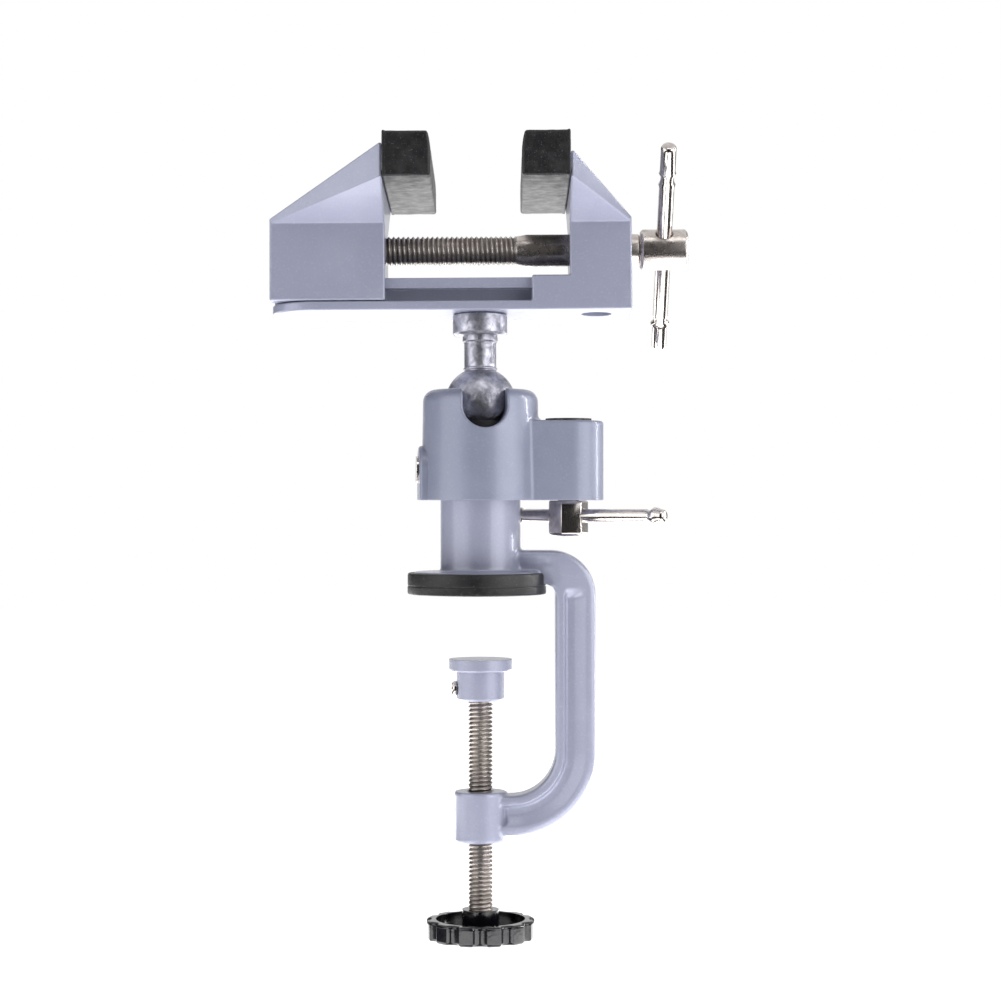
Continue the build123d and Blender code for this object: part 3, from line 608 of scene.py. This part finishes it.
def makeMetal(name, look, place=None, radii=None):
    # radii: the root and the crest of a thread about the frame's Z axis; towards the roots the colour darkens and
    # the roughness rises, in patches
    finish, tree, shader = newFinish(name, {"Metallic": 1.0})
    coords = objectCoords(tree)
    local = placedCoords(tree, coords, place) if place else coords
    shared = metalNoise
    fine = noiseOf(tree, coords, shared["fine"], 2.0, 0.6)
    mottle = noiseOf(tree, coords, shared["mottle"], 4.0, 0.62, 0.6)
    cloud = noiseOf(tree, coords, shared["cloud"], 3.0, 0.6)
    near, rounded = edgeShare(tree, look["edge"])
    marks = scratchLines(tree, local, look["scratch"], **shared["marks"])
    crossMarks = scratchLines(tree, local, look["scratch"], **shared["crossMarks"])
    marks = sums(tree, "MAXIMUM", marks, crossMarks)
    tone = mixed(tree, mottle, cloud, shared["toneMix"])
    colour = blendColour(tree, spread(tree, tone, *shared["toneShare"]), look["dark"], look["light"])
    colour = blendColour(tree, times(tree, near, shared["edgeLight"]), colour, look["light"])
    rough = spread(tree, tone, *shared["roughShare"], look["rough"][1], look["rough"][0])
    # darker and rougher towards the thread's roots, in cloudy patches
    if radii:
        parts = addNode(tree, "ShaderNodeSeparateXYZ", {"Vector": local})
        squares = [sums(tree, "POWER", parts.outputs[axis], 2.0) for axis in "XY"]
        depth = spread(tree, sums(tree, "SQRT", plus(tree, *squares)), *radii)
        patches = spread(tree, cloud, *shared["rootDarkeningShare"])
        rootDarkening = times(tree, sums(tree, "SUBTRACT", 1.0, depth), patches)
        colour = blendColour(tree, rootDarkening, colour, shared["rootDarkening"])
        rough = plus(tree, rough, times(tree, rootDarkening, shared["rootDarkeningRough"]))
    plug(tree, shader.inputs["Base Color"], colour)
    rough = plus(tree, rough, times(tree, marks, shared["marksRough"]))
    plug(tree, shader.inputs["Roughness"], rough)
    height = plus(tree, times(tree, fine, shared["fineBump"]), mottle)
    height = sums(tree, "SUBTRACT", height, times(tree, marks, shared["marksBump"]))
    plug(tree, shader.inputs["Normal"], bumpFrom(tree, height, look["bump"], 1.0, rounded))
    return finish


nylonLook = {
    "dark": (0.006, 0.006, 0.007),
    "light": (0.018, 0.018, 0.02),
    "rough": (0.35, 0.55),
    "grain": 1800,
    "cloud": 200,
    "bump": 0.00004,
    "roughShare": (0.3, 0.7),
}


def makeNylon():
    look = nylonLook
    finish, tree, shader = newFinish("blackNylon", {"IOR": 1.5, "Specular IOR Level": 0.4})
    coords = objectCoords(tree)
    grain = noiseOf(tree, coords, look["grain"], 3.0, 0.6)
    cloud = noiseOf(tree, coords, look["cloud"], 2.0)
    plug(tree, shader.inputs["Base Color"], blendColour(tree, cloud, look["dark"], look["light"]))
    rough = spread(tree, cloud, *look["roughShare"], *look["rough"])
    plug(tree, shader.inputs["Roughness"], rough)
    plug(tree, shader.inputs["Normal"], bumpFrom(tree, grain, look["bump"]))
    return finish


mainScrewSize = {
    "thread": 9.5,
    "pitch": 1.5875,
    "depth": 0.66,
    "tip": -110.3,  # from the back of the head
    "tipChamfer": 1.1,
    "threadEnd": -40.7,
    "runOut": 0.6,
    "trim": {"low": 0.01, "out": 0.05, "rise": 0.06, "high": 2.5},  # of what cuts the thread's ends
    "core": 0.5,  # below the crest
    "lap": 0.4,  # of the core into the thread
    "coneFoot": (0.1, 0.2),
    "coneEnd": -37.1,
    "shank": 10.4,
    "grooveAt": -14.4,
    "grooveWidth": 3.4,
    "grooveDepth": 1.3,
    "relief": {"low": 0.6, "high": 0.3, "deep": 0.5},  # under the head
    "head": 13.3,
    "headLength": 15.4,
    "headEdge": 0.8,
    "dish": {"in": 3, "floor": 3.4, "deep": 0.35},  # in and floor in edges from the rim
    "soft": 0.18,
    "turn": 0.021,  # so that no step of the two turnings falls together
    "hole": 5.1,
    "sink": 6.6,
    "sinkLap": 0.25,
    "sinkReach": 6,
    "holeSteps": 64,
}
clampScrewSize = {
    "thread": 7.94,
    "pitch": 1.411,
    "depth": 0.5,
    "low": -102.3,
    "high": -34.6,
    "tip": 6.3,
    "core": {"low": 0.1, "high": 0.3, "lap": 0.5},
    "top": -25.8,
    "topEdge": 0.5,
    "bottom": -111.0,
    "bottomEdge": 0.4,
    "grooveAt": -30.8,
    "groove": 1.6,
    "grooveDepth": 1.0,
}
rootDarkeningTop = 0.15  # below the crest


def threadPlate(name, look, size, place):
    crest = size["thread"] / 2
    radii = ((crest - size["depth"]) * mm, (crest - rootDarkeningTop) * mm)
    return makeMetal(name, metalLooks[look], place, radii)


paint = makePaint("silverGreyPaint", paintLook)
shadedHousingPaint = makePaint("shadedHousingPaint", shadedHousingLook)
rubber = makeRubber()
plastic = makePlastic()
nylon = makeNylon()
nickel = makeMetal("nickelPlate", metalLooks["nickel"])
zinc = makeMetal("burnishedZinc", metalLooks["zinc"])
darkSteel = makeMetal("darkSteel", metalLooks["darkSteel"])
brass = makeMetal("brass", metalLooks["brass"])
mainPlate = threadPlate("mainScrewPlate", "thread", mainScrewSize, screwFrame)
clampPlate = threadPlate("clampScrewPlate", "clampThread", clampScrewSize, clampFrame)
finishOf = {
    "casting_paint": paint,
    "black_rubber": rubber,
    "black_plastic": plastic,
    "black_nylon": nylon,
    "bare_zinc": zinc,
    "nickel_plate": nickel,
    "plated_thread": clampPlate,
    "dark_steel": darkSteel,
    "brass_pin": brass,
}
slotOf = {part["node"]: part["material_slot"] for part in frame["record"]["subparts"]}
print("finishes made")


# main screw, with its thread wound from one tooth
def makeMainScrew():
    size = mainScrewSize
    crest = size["thread"] / 2
    shank = size["shank"] / 2
    head = size["head"] / 2
    tip = size["tip"]
    end = size["threadEnd"]
    thread = windThread("mainThread", size, tip, end + size["runOut"])
    trim = size["trim"]
    envelope = lathe(
        "envelope",
        [
            (0, tip + trim["low"]),
            (crest - size["tipChamfer"], tip + trim["low"]),
            (crest + trim["out"], tip + size["tipChamfer"] + trim["rise"]),
            (crest + trim["out"], end + trim["high"]),
            (0, end + trim["high"]),
        ],
    )
    cutWith(thread, envelope, "INTERSECT")
    low = size["grooveAt"] - size["grooveWidth"] / 2
    top = size["grooveAt"] + size["grooveWidth"] / 2
    waist = shank - size["grooveDepth"]
    foot = size["coneFoot"]
    relief = size["relief"]
    length = size["headLength"]
    edge = size["headEdge"]
    dish = size["dish"]
    body = lathe(
        "mainScrew",
        [
            (0, end - size["lap"]),
            (crest - size["core"], end - size["lap"]),
            (crest - size["core"], end),
            (crest - foot[0], end + foot[1]),
            (shank, size["coneEnd"]),
            (shank, low),
            (waist, low),
            (waist, top),
            (shank, top),
            (shank, -relief["low"]),
            (shank - relief["deep"], -relief["high"]),
            (shank - relief["deep"], 0),
            (head - edge, 0),
            (head, edge),
            (head, length - edge),
            (head - edge, length),
            (head - dish["in"] * edge, length),
            (head - dish["floor"] * edge, length - dish["deep"]),
            (0, length - dish["deep"]),
        ],
    )
    softenEdges(body, size["soft"], 2)
    turnedTo(body, Matrix.Rotation(size["turn"], 4, "Z"))
    cutWith(body, thread, "UNION")
    hole = size["hole"] / 2
    reach = size["sinkReach"]
    start = head - (size["sink"] / 2 - hole) + size["sinkLap"]
    outline = [(0, -start - reach), (hole + reach, -start - reach), (hole, -start)]
    outline += [(hole, start), (hole + reach, start + reach), (0, start + reach)]
    cutter = lathe("crossHole", outline, size["holeSteps"])
    middle = Matrix.Translation((0, 0, length / 2))
    turnedTo(cutter, middle @ Matrix.Rotation(math.pi / 2, 4, "Y"))
    cutWith(body, cutter)
    return finishPiece(body, screwFrame, "main_screw", "nickel_plate", mainPlate, "main_screw")


makeMainScrew()


# clamp screw
def makeClampScrew():
    size = clampScrewSize
    low = size["low"]
    high = size["high"]
    thread = windThread("clampScrew", size, low, high)
    tip = size["tip"] / 2
    core = size["core"]
    grooveLow = size["grooveAt"] - size["groove"] / 2
    grooveTop = size["grooveAt"] + size["groove"] / 2
    waist = tip - size["grooveDepth"]
    body = lathe(
        "clampCore",
        [
            (0, size["bottom"]),
            (tip - size["bottomEdge"], size["bottom"]),
            (tip, size["bottom"] + size["bottomEdge"]),
            (tip - core["low"], low + core["lap"]),
            (tip - core["high"], high - core["lap"]),
            (tip, high),
            (tip, grooveLow),
            (waist, grooveLow),
            (waist, grooveTop),
            (tip, grooveTop),
            (tip, size["top"] - size["topEdge"]),
            (tip - size["topEdge"], size["top"]),
            (0, size["top"]),
        ],
    )
    cutWith(thread, body, "UNION")
    return finishPiece(thread, clampFrame, "clamp_screw", "plated_thread", clampPlate, "clamp_screw")


makeClampScrew()


# sliding bars, pinched near their ends so that they can't fall out
def makeBar(name, size):
    radius = size["bar"] / 2
    low = size["low"]
    high = size["high"]
    edge = size["endEdge"]
    rings = [(at + step, across, along) for at in sorted(size["pinches"])
             for step, across, along in size["pinches"][at]]
    outline = [(0, low), (radius - edge, low)]
    outline += arcPoints((radius - edge, low + edge), edge, -60, -10, 3)
    outline.append((radius, low + edge))
    outline += [(radius, height) for height, across, along in rings]
    outline.append((radius, high - edge))
    outline += arcPoints((radius - edge, high - edge), edge, 10, 60, 3)
    outline += [(radius - edge, high), (0, high)]
    bar = lathe(name, outline, size["steps"])
    for height, across, along in rings:
        selectVertices(bar, lambda place: abs(place.z - height) < size["near"])
        bpy.ops.object.mode_set(mode="EDIT")
        bpy.ops.transform.resize(value=(across, along, 1), center_override=(0, 0, height))
        bpy.ops.object.mode_set(mode="OBJECT")
    return bar


# pinches: where each one is, with its rings: how far along, and the bar's two widths there as shares
tommyBarSize = {
    "bar": 5.0,
    "low": -40.5,
    "high": 40.5,
    "endEdge": 1.3,
    "steps": 48,
    "near": 0.02,
    "pinches": {
        -30.0: [
            (-1.1, 1, 1),
            (-0.5, 1.22, 0.84),
            (0.3, 1.24, 0.78),
            (1.0, 0.86, 0.9),
            (2.6, 0.88, 0.94),
            (3.6, 1, 1),
        ],
        30.0: [
            (-5.2, 1, 1),
            (-4.2, 1.1, 0.9),
            (-3.2, 0.9, 0.92),
            (-1.0, 0.86, 0.9),
            (0.0, 1.12, 0.8),
            (0.8, 1, 1),
        ],
    },
}
lockBarSize = {
    "bar": 4.5,
    "low": -25.3,
    "high": 36.4,
    "endEdge": 1.5,
    "steps": 48,
    "near": 0.02,
    "drop": 5.0,  # below the top of the screw's head
    "pinches": {
        -18.3: [(-1.6, 1, 1), (-0.8, 0.8, 1.18), (0.2, 0.78, 1.2), (1.2, 0.92, 0.84), (2.0, 1, 1)],
        30.0: [
            (-0.6, 1, 1),
            (0.2, 0.86, 0.84),
            (0.9, 0.88, 0.86),
            (2.4, 1.25, 1.27),
            (3.5, 1.2, 1.22),
            (4.7, 1, 1),
        ],
    },
}
tommyAt = pointOf("main_screw_turn") + headRight * mainScrewSize["headLength"] / 2 * mm
tommyFrame = frameAt(tommyAt, headRight, barWay)
tommyBar = makeBar("tommyBar", tommyBarSize)
finishPiece(tommyBar, tommyFrame, "tommy_bar", "nickel_plate", nickel, "tommy_bar", smooth=50)
lockBarAt = pointOf("lock_screw_turn") - skyward * lockBarSize["drop"] * mm
lockBarFrame = frameAt(lockBarAt, lockWay.cross(skyward), lockWay)
lockBar = makeBar("lockBar", lockBarSize)
finishPiece(lockBar, lockBarFrame, "lock_bar", "nickel_plate", nickel, "lock_bar", smooth=50)


# hexagonal lock screw
lockScrewSize = {
    "flats": 11.3,
    "head": 11.6,
    "edge": 1.0,
    "topEdge": (0.4, 0.3),
    "soft": 0.35,
    "turn": 2.0,
    "shank": 7.0,
    "shankTop": 20.6,
    "lap": 1,
    "hole": 4.6,
    "holeReach": 9,
    "steps": 48,
}


def makeLockScrew():
    size = lockScrewSize
    corner = size["flats"] / 2 / math.cos(math.pi / 6)
    edge = size["edge"]
    inward, down = size["topEdge"]
    outline = [(0, -size["head"]), (corner - edge, -size["head"]), (corner, -size["head"] + edge)]
    outline += [(corner, -down), (corner - inward, 0), (0, 0)]
    head = lathe("lockScrew", outline, 6)
    softenEdges(head, size["soft"], 3, 20)
    turnedTo(head, Matrix.Rotation(math.radians(size["turn"]), 4, "Z"))
    radius = size["shank"] / 2
    outline = [(0, -size["lap"]), (radius, -size["lap"]), (radius, size["shankTop"]), (0, size["shankTop"])]
    cutWith(head, lathe("shank", outline, size["steps"]), "UNION")
    radius = size["hole"] / 2
    reach = size["holeReach"]
    hole = lathe("hole", [(0, -reach), (radius, -reach), (radius, reach), (0, reach)], size["steps"])
    toBar = lockFrame.inverted() @ lockBarFrame
    toBar.translation = Vector((0, 0, -lockBarSize["drop"]))
    turnedTo(hole, toBar)
    cutWith(head, hole)
    return finishPiece(head, lockFrame, "lock_screw", "nickel_plate", nickel, "lock_screw", smooth=25)


makeLockScrew()


# ball with its stud; a foot or edge is given as (inward or outward, along)
studSize = {
    "ball": 11.5,
    "neck": 5.2,
    "lip": 5.55,
    "lipAt": 10.6,
    "lipFoot": (0.02, 0.1),
    "lipSpan": (0.15, 0.5),
    "lipTop": 0.9,
    "step": 5.7,
    "stepLow": 20.0,
    "stepStart": 0.9,
    "stepFoot": (0.12, 0.4),
    "collar": 8.85,
    "collarLow": 21.8,
    "collarTop": 28.7,
    "lowEdge": 0.7,
    "topEdge": 0.4,
    "spigot": 3.5,
    "spigotTop": 31.8,
    "steps": 128,
}


def makeStud():
    size = studSize
    ball, neck, lip = size["ball"], size["neck"], size["lip"]
    step, collar, spigot = size["step"], size["collar"], size["spigot"]
    lipAt, stepLow = size["lipAt"], size["stepLow"]
    collarLow, collarTop = size["collarLow"], size["collarTop"]
    meet = math.degrees(math.acos(neck / ball))
    outline = [(0, -ball)] + arcPoints((0, 0), ball, -87, meet, 40)
    outline += [
        (neck + size["lipFoot"][0], lipAt - size["lipFoot"][1]),
        (lip, lipAt + size["lipSpan"][0]),
        (lip, lipAt + size["lipSpan"][1]),
        (neck, lipAt + size["lipTop"]),
        (neck, stepLow - size["stepStart"]),
        (neck + size["stepFoot"][0], stepLow - size["stepFoot"][1]),
        (step, stepLow),
        (step, collarLow),
        (collar - size["lowEdge"], collarLow),
        (collar, collarLow + size["lowEdge"]),
        (collar, collarTop - size["topEdge"]),
        (collar - size["topEdge"], collarTop),
        (spigot, collarTop),
        (spigot, size["spigotTop"]),
        (0, size["spigotTop"]),
    ]
    stud = lathe("ballStud", outline, size["steps"])
    return finishPiece(stud, headFrame, "ball_stud", "bare_zinc", zinc, "ball_stud", smooth=28)


makeStud()

# rubber pads on the jaws
padSize = {
    "back": -30.4,
    "front": -14.9,
    "otherBack": 29.1,
    "otherFront": 13.6,
    "half": 34.0,
    "low": 67.9,
    "high": 82.7,
    "lip": 1.1,
    "lipOut": 0.15,
    "lipEdge": 0.35,
    "round": 0.9,
    "nose": {"half": 31.5, "low": 70.3, "high": 79.5, "length": 12.5, "lap": 0.5},
    "voxel": 0.32,
    "lean": 1.0,
    "leanBehind": 1,  # it starts this far behind the end of the jaw's nose
    "leanSpan": 4,
    "lump": 0.22,
    "lumpSize": 4.5,
}


def makePad(name, back, front, body, node):
    size = padSize
    way = 1 if front > back else -1
    half, low, high = size["half"], size["low"], size["high"]
    out = size["lipOut"]
    span = sorted((back, front))
    pad = addBox(name, (span[0], -half + out, low + out), (span[1], half - out, high - out))
    softenEdges(pad, size["round"], 4)
    edges = sorted((back, back + way * size["lip"]))
    lip = addBox("lip", (edges[0], -half, low), (edges[1], half, high))
    softenEdges(lip, size["lipEdge"], 3)
    cutWith(pad, lip, "UNION")
    nose = size["nose"]
    reach = sorted((back - way * nose["lap"], back + way * nose["length"]))
    foot = (reach[0], -nose["half"], nose["low"])
    cutWith(pad, addBox("pocket", foot, (reach[1], nose["half"], nose["high"])))
    softSkin(pad, size["voxel"], 3)
    # the rubber's front leans a little, and its faces are uneven
    middle = (low + high) / 2
    for vertex in pad.data.vertices:
        ahead = (vertex.co.x - back) * way - nose["length"] + size["leanBehind"]
        share = max(0.0, ahead) / size["leanSpan"]
        rise = max(0.0, (vertex.co.z - middle) / (high - middle))
        vertex.co.x -= way * size["lean"] * min(1.0, share) * rise * rise
    lumps = bpy.data.textures.new(name + "Lumps", "CLOUDS")
    lumps.noise_scale = size["lumpSize"]
    lumps.noise_depth = 2
    uneven = pad.modifiers.new("uneven", "DISPLACE")
    uneven.texture = lumps
    uneven.strength = size["lump"]
    uneven.mid_level = 1.0
    applyAll(pad)
    return finishPiece(pad, headFrame, body, "black_rubber", rubber, node, smooth=60)


makePad("movingJawPad", padSize["back"], padSize["front"], "moving_jaw", "moving_jaw_pad")
makePad("fixedJawPad", padSize["otherBack"], padSize["otherFront"], "vise_frame", "fixed_jaw_pad")

# rubber ring under the flange
ringSize = {
    "outer": 22.5,
    "inner": 20.5,
    "height": 7.0,
    "floor": 2.0,
    "shift": -1.2,
    "foot": [(3.5, 0.15), (3.0, 0), (0.6, 0), (0.15, 0.2), (0, 0.7)],  # inward and up
    "seam": 2.75,
    "seamSides": [(0, -0.25), (0.22, -0.1), (0.22, 0.1), (0.05, 0.25)],  # inward and up
    "top": [(0.05, 0.8), (0.25, 0.2), (0.7, 0)],  # inward and down
    "innerEdge": 0.3,
    "steps": 160,
    "armLow": 3.2,
    "armHalf": 6.1,
    "over": (3, 1),  # how far the cut for the arm goes past the ring
}


def makeRing():
    size = ringSize
    outer, inner, height = size["outer"], size["inner"], size["height"]
    outline = [(0, size["foot"][0][1])] + [(outer - inward, up) for inward, up in size["foot"]]
    outline += [(outer - inward, size["seam"] + up) for inward, up in size["seamSides"]]
    outline += [(outer - inward, height - down) for inward, down in size["top"]]
    outline += [(inner + size["innerEdge"], height), (inner, height - size["innerEdge"])]
    outline += [(inner, size["floor"]), (0, size["floor"])]
    ring = lathe("baseRing", outline, size["steps"])
    turnedTo(ring, Matrix.Translation((size["shift"], 0, 0)))
    half = size["armHalf"]
    past, above = size["over"]
    cutWith(ring, addBox("slot", (0, -half, size["armLow"]), (outer + past, half, height + above)))
    return finishPiece(ring, clampFrame, "c_frame", "black_rubber", rubber, "base_ring", smooth=30)


makeRing()

# screw that keeps the clamp pad
padScrewSize = {
    "x": -7.7,
    "z": -30.8,
    "head": 5.2,
    "height": 1.7,
    "rim": 0.35,
    "dome": {"at": 0.45, "radius": 1.2, "from": 5, "to": 80, "count": 6},
    "shank": 3.0,
    "length": 4.25,
    "dog": 1.0,
    "dogLength": 1,
    "slot": 0.8,
    "slotDepth": 0.8,
    "slotOver": 1,
    "slotTurn": 35,
    "steps": 64,
}


def makePadScrew():
    size = padScrewSize
    radius = size["head"] / 2
    low = -size["length"]
    end = low - size["dogLength"]
    dome = size["dome"]
    outline = [(0, end), (size["dog"], end), (size["dog"], low), (size["shank"] / 2, low)]
    outline += [(size["shank"] / 2, 0), (radius, 0), (radius, size["rim"])]
    centre = (radius - dome["radius"], dome["at"])
    outline += arcPoints(centre, dome["radius"], dome["from"], dome["to"], dome["count"])
    outline.append((0, size["height"]))
    screw = lathe("clampPadScrew", outline, size["steps"])
    over = size["slotOver"]
    half = size["slot"] / 2
    foot = (-radius - over, -half, size["height"] - size["slotDepth"])
    slot = addBox("slot", foot, (radius + over, half, size["height"] + over))
    turnedTo(slot, Matrix.Rotation(math.radians(size["slotTurn"]), 4, "Z"))
    cutWith(screw, slot)
    place = frameAt(Vector((size["x"], 0, size["z"])) * mm, Vector((0, 1, 0)), Vector((-1, 0, 0)))
    return finishPiece(screw, place, "clamp_pad", "nickel_plate", nickel, "clamp_pad_screw", smooth=35)


makePadScrew()

# the cast frame, with its corners blended as the mould left them
castingSize = {
    "voxel": 0.5,
    "half": 6.0,  # of the bar's depth
    "inner": 24.2,
    "wide": 13.0,
    "bend": 14.3,
    "bossBelow": 15.3,  # from the lower arm's top to the boss's foot
    "clearBoss": 9,  # from the boss's axis
    "border": 3.05,  # of the web, from the bar's inner side
    "step": 0.3,
    "slopeFrom": 6.2,
    "slopeTo": 9.9,
    "recess": 2.1,
    "margin": 2.4,
    "reach": 3.9,  # how deep the solid's own recess may lie
    "fadeLow": -1.2,
    "fadeHigh": 2.2,
    "webHigh": 4.6,
    "hollow": 1.9,
    "hollowSides": (12.2, 18.5, 26.0),  # where it starts, starts to fade and ends
    "hollowLevels": (4.2, 9.0, 13.4),
    "hollowReach": 0.6,
    "flange": (19.8, 7.8),  # what is nearer and lower is the flange's
    "outside": 0.3,
}


def ease(value, start, end):
    share = min(1.0, max(0.0, (value - start) / (end - start)))
    return share * share * (3 - 2 * share)


def acrossBar(place, lowerTop):
    # the distance from the bar's inner side, round the bend too
    size = castingSize
    middle = Vector((size["inner"] - size["bend"], 0, lowerTop + size["bend"]))
    if place.z > middle.z:
        return place.x - size["inner"]
    if place.x < middle.x:
        return lowerTop - place.z
    return math.hypot(place.x - middle.x, place.z - middle.z) - size["bend"]


def webDepth(across, height):
    size = castingSize
    fade = 1 - ease(height, size["fadeLow"], size["fadeHigh"])
    wall = min(1.0, max(0.0, (across - size["border"]) / size["step"]))
    span = size["slopeTo"] - size["slopeFrom"]
    slope = min(1.0, max(0.0, (size["slopeTo"] - across) / span))
    return size["recess"] * fade * min(wall, slope)


def atFace(place, reach):
    # whether a point lies on one of the bar's two faces, or in what is sunk into it
    half = castingSize["half"]
    return half - reach < abs(place.y) < half + castingSize["outside"]


def carveWeb(place, lowerTop):
    size = castingSize
    across = acrossBar(place, lowerTop)
    inWeb = size["margin"] < across < size["wide"] - size["margin"] and place.z < size["webHigh"]
    clear = place.x > size["border"] and math.hypot(place.x, place.y) > size["clearBoss"]
    if inWeb and clear and atFace(place, size["reach"]):
        place.y = math.copysign(size["half"] - webDepth(across, place.z), place.y)


def carveHollow(place):
    # fades out towards the bar and towards the arm's top
    size = castingSize
    left, middle, right = size["hollowSides"]
    bottom, level, top = size["hollowLevels"]
    inArm = left < place.x < right and bottom < place.z < top
    clear = place.x > size["flange"][0] or place.z > size["flange"][1]
    if inArm and clear and atFace(place, size["hollow"] + size["hollowReach"]):
        share = (1 - ease(place.z, level, top)) * (1 - ease(place.x, middle, right))
        place.y = math.copysign(size["half"] - size["hollow"] * share, place.y)


def makeFrame():
    size = castingSize
    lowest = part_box("c_frame")[0][2] / mm
    body = copyOf("c_frame", "clampFrameCasting", clampFrame)
    softSkin(body, size["voxel"], 0)
    for vertex in body.data.vertices:
        carveWeb(vertex.co, lowest + size["bossBelow"])
        carveHollow(vertex.co)
    softSkin(body, size["voxel"], 2)
    return finishPiece(body, clampFrame, "c_frame", "casting_paint", paint, "c_frame", smooth=60)


makeFrame()

# finishes of the solids that stay
for node, solid in cadNodes.items():
    dress(solid, finishOf.get(slotOf.get(node), paint))
# the housing gets the darker copy of the paint, as painted shade
dress(cadNodes["ball_housing"], shadedHousingPaint)
print("solids finished")


# floor, cards and lamps; the cards show in reflections alone
stageSize = {
    "floor": -0.1417,  # under the handwheel's lowest pose
    "reach": 6.0,
    "floorTone": 0.8,
    "floorGlow": 0.88,
    "sky": 0.15,
    "aim": 0.02,  # the height that the lamps shine at
}
cardFoot = -0.14  # just above the floor
cards = {
    "frontCard": {
        "half": 0.8,
        "shade": 0.02,
        "points": [(-0.2, cardFoot), (-1.7, cardFoot), (-1.7, 1.6), (-0.6, 2.4)],
    },
    "leftCard": {"turn": -116, "half": 1.15, "shade": 0.07, "points": [(-1.6, cardFoot), (-1.6, 1.2)]},
    "rightCard": {"turn": 118, "half": 1.15, "shade": 0.35, "points": [(-1.6, cardFoot), (-1.6, 1.2)]},
    "wheelStrip": {"half": 0.03, "shade": 0.02, "points": [(-0.03, cardFoot), (-0.2, cardFoot)]},
    "leftStrip": {"aside": -0.3, "half": 0.16, "shade": 0.05, "points": [(-0.3, cardFoot), (0.3, cardFoot)]},
    "rightStrip": {"aside": 0.36, "half": 0.16, "shade": 0.05, "points": [(-0.3, cardFoot), (0.3, cardFoot)]},
}
lamps = {
    "leftLamp": {"turn": -62, "away": 1.5, "height": 0.3, "size": (1.35, 1.6), "glow": 1.35},
    "rightLamp": {"turn": 52, "away": 1.5, "height": 0.3, "size": (1.15, 1.6), "glow": 2.7},
    "edgeLamp": {"turn": 106, "away": 1.3, "height": 0.1, "size": (0.09, 1.5), "glow": 30.0},
    "topLamp": {"turn": 10, "away": 0.9, "height": 1.5, "size": (0.9, 0.6), "glow": 3.0},
    "floorLamp": {"turn": 180, "away": 0.1, "height": -0.1405, "size": (1.6, 1.3), "glow": 2.5},
}


def rayShare(tree, *kinds):
    path = addNode(tree, "ShaderNodeLightPath")
    total = path.outputs[kinds[0]]
    for kind in kinds[1:]:
        total = sums(tree, "MAXIMUM", total, path.outputs[kind])
    return total


def makeFloor():
    deselectAll()
    bpy.ops.mesh.primitive_plane_add(size=stageSize["reach"], location=(0, 0, stageSize["floor"]))
    floor = bpy.context.object
    floor.name = "floor"
    cover = bpy.data.materials.new("paleFloor")
    cover.use_nodes = True
    tree = cover.node_tree
    tree.nodes.clear()
    tone = stageSize["floorTone"]
    plain = addNode(tree, "ShaderNodeBsdfDiffuse", {"Color": (tone, tone, tone, 1)})
    glow = addNode(tree, "ShaderNodeEmission", {"Color": (1, 1, 1, 1), "Strength": stageSize["floorGlow"]})
    both = addNode(tree, "ShaderNodeAddShader", {0: plain.outputs[0], 1: glow.outputs[0]})
    seen = rayShare(tree, "Is Camera Ray", "Is Glossy Ray", "Is Transmission Ray")
    mix = addNode(tree, "ShaderNodeMixShader", {0: seen, 1: plain.outputs[0], 2: both.outputs[0]})
    addNode(tree, "ShaderNodeOutputMaterial", {"Surface": mix.outputs[0]})
    floor.data.materials.append(cover)


def makeWorld():
    world = bpy.data.worlds.new("studio")
    bpy.context.scene.world = world
    world.use_nodes = True
    tree = world.node_tree
    tree.nodes.clear()
    seen = rayShare(tree, "Is Camera Ray", "Is Glossy Ray", "Is Transmission Ray")
    strength = spread(tree, seen, 0, 1, stageSize["sky"], 1.0)
    sky = addNode(tree, "ShaderNodeBackground", {"Color": (1, 1, 1, 1), "Strength": strength})
    addNode(tree, "ShaderNodeOutputWorld", {"Surface": sky.outputs[0]})


def makeCard(name, size):
    # bent along its points, as seen from the side
    half = size["half"]
    shade = size["shade"]
    card = drawLine(name, [(-half, y, z) for y, z in size["points"]])
    pick(card)
    bpy.ops.object.mode_set(mode="EDIT")
    bpy.ops.mesh.select_all(action="SELECT")
    bpy.ops.mesh.extrude_region_move(TRANSFORM_OT_translate={"value": (2 * half, 0, 0)})
    bpy.ops.object.mode_set(mode="OBJECT")
    turn = Matrix.Rotation(math.radians(size.get("turn", 0)), 4, "Z")
    turnedTo(card, turn @ Matrix.Translation((size.get("aside", 0), 0, 0)))
    cover = bpy.data.materials.new(name + "Cover")
    cover.use_nodes = True
    tree = cover.node_tree
    tree.nodes.clear()
    dull = addNode(tree, "ShaderNodeEmission", {"Color": (shade, shade, shade, 1), "Strength": 1.0})
    addNode(tree, "ShaderNodeOutputMaterial", {"Surface": dull.outputs[0]})
    card.data.materials.append(cover)
    card.visible_camera = False
    card.visible_diffuse = False
    card.visible_shadow = False


def makeLamp(name, size):
    angle = math.radians(size["turn"])
    place = Vector((math.sin(angle) * size["away"], -math.cos(angle) * size["away"], size["height"]))
    deselectAll()
    bpy.ops.object.light_add(type="AREA", location=place)
    lamp = bpy.context.object
    lamp.name = name
    lamp.visible_camera = False
    lamp.data.shape = "RECTANGLE"
    wide, tall = size["size"]
    lamp.data.size, lamp.data.size_y = wide, tall
    lamp.data.energy = size["glow"] * math.pi * wide * tall
    aim = skyward if place.z < 0 else Vector((0, 0, stageSize["aim"])) - place
    lamp.rotation_euler = aim.to_track_quat("-Z", "Y").to_euler()


makeFloor()
makeWorld()
for name, size in cards.items():
    makeCard(name, size)
for name, size in lamps.items():
    makeLamp(name, size)
print("stage set")
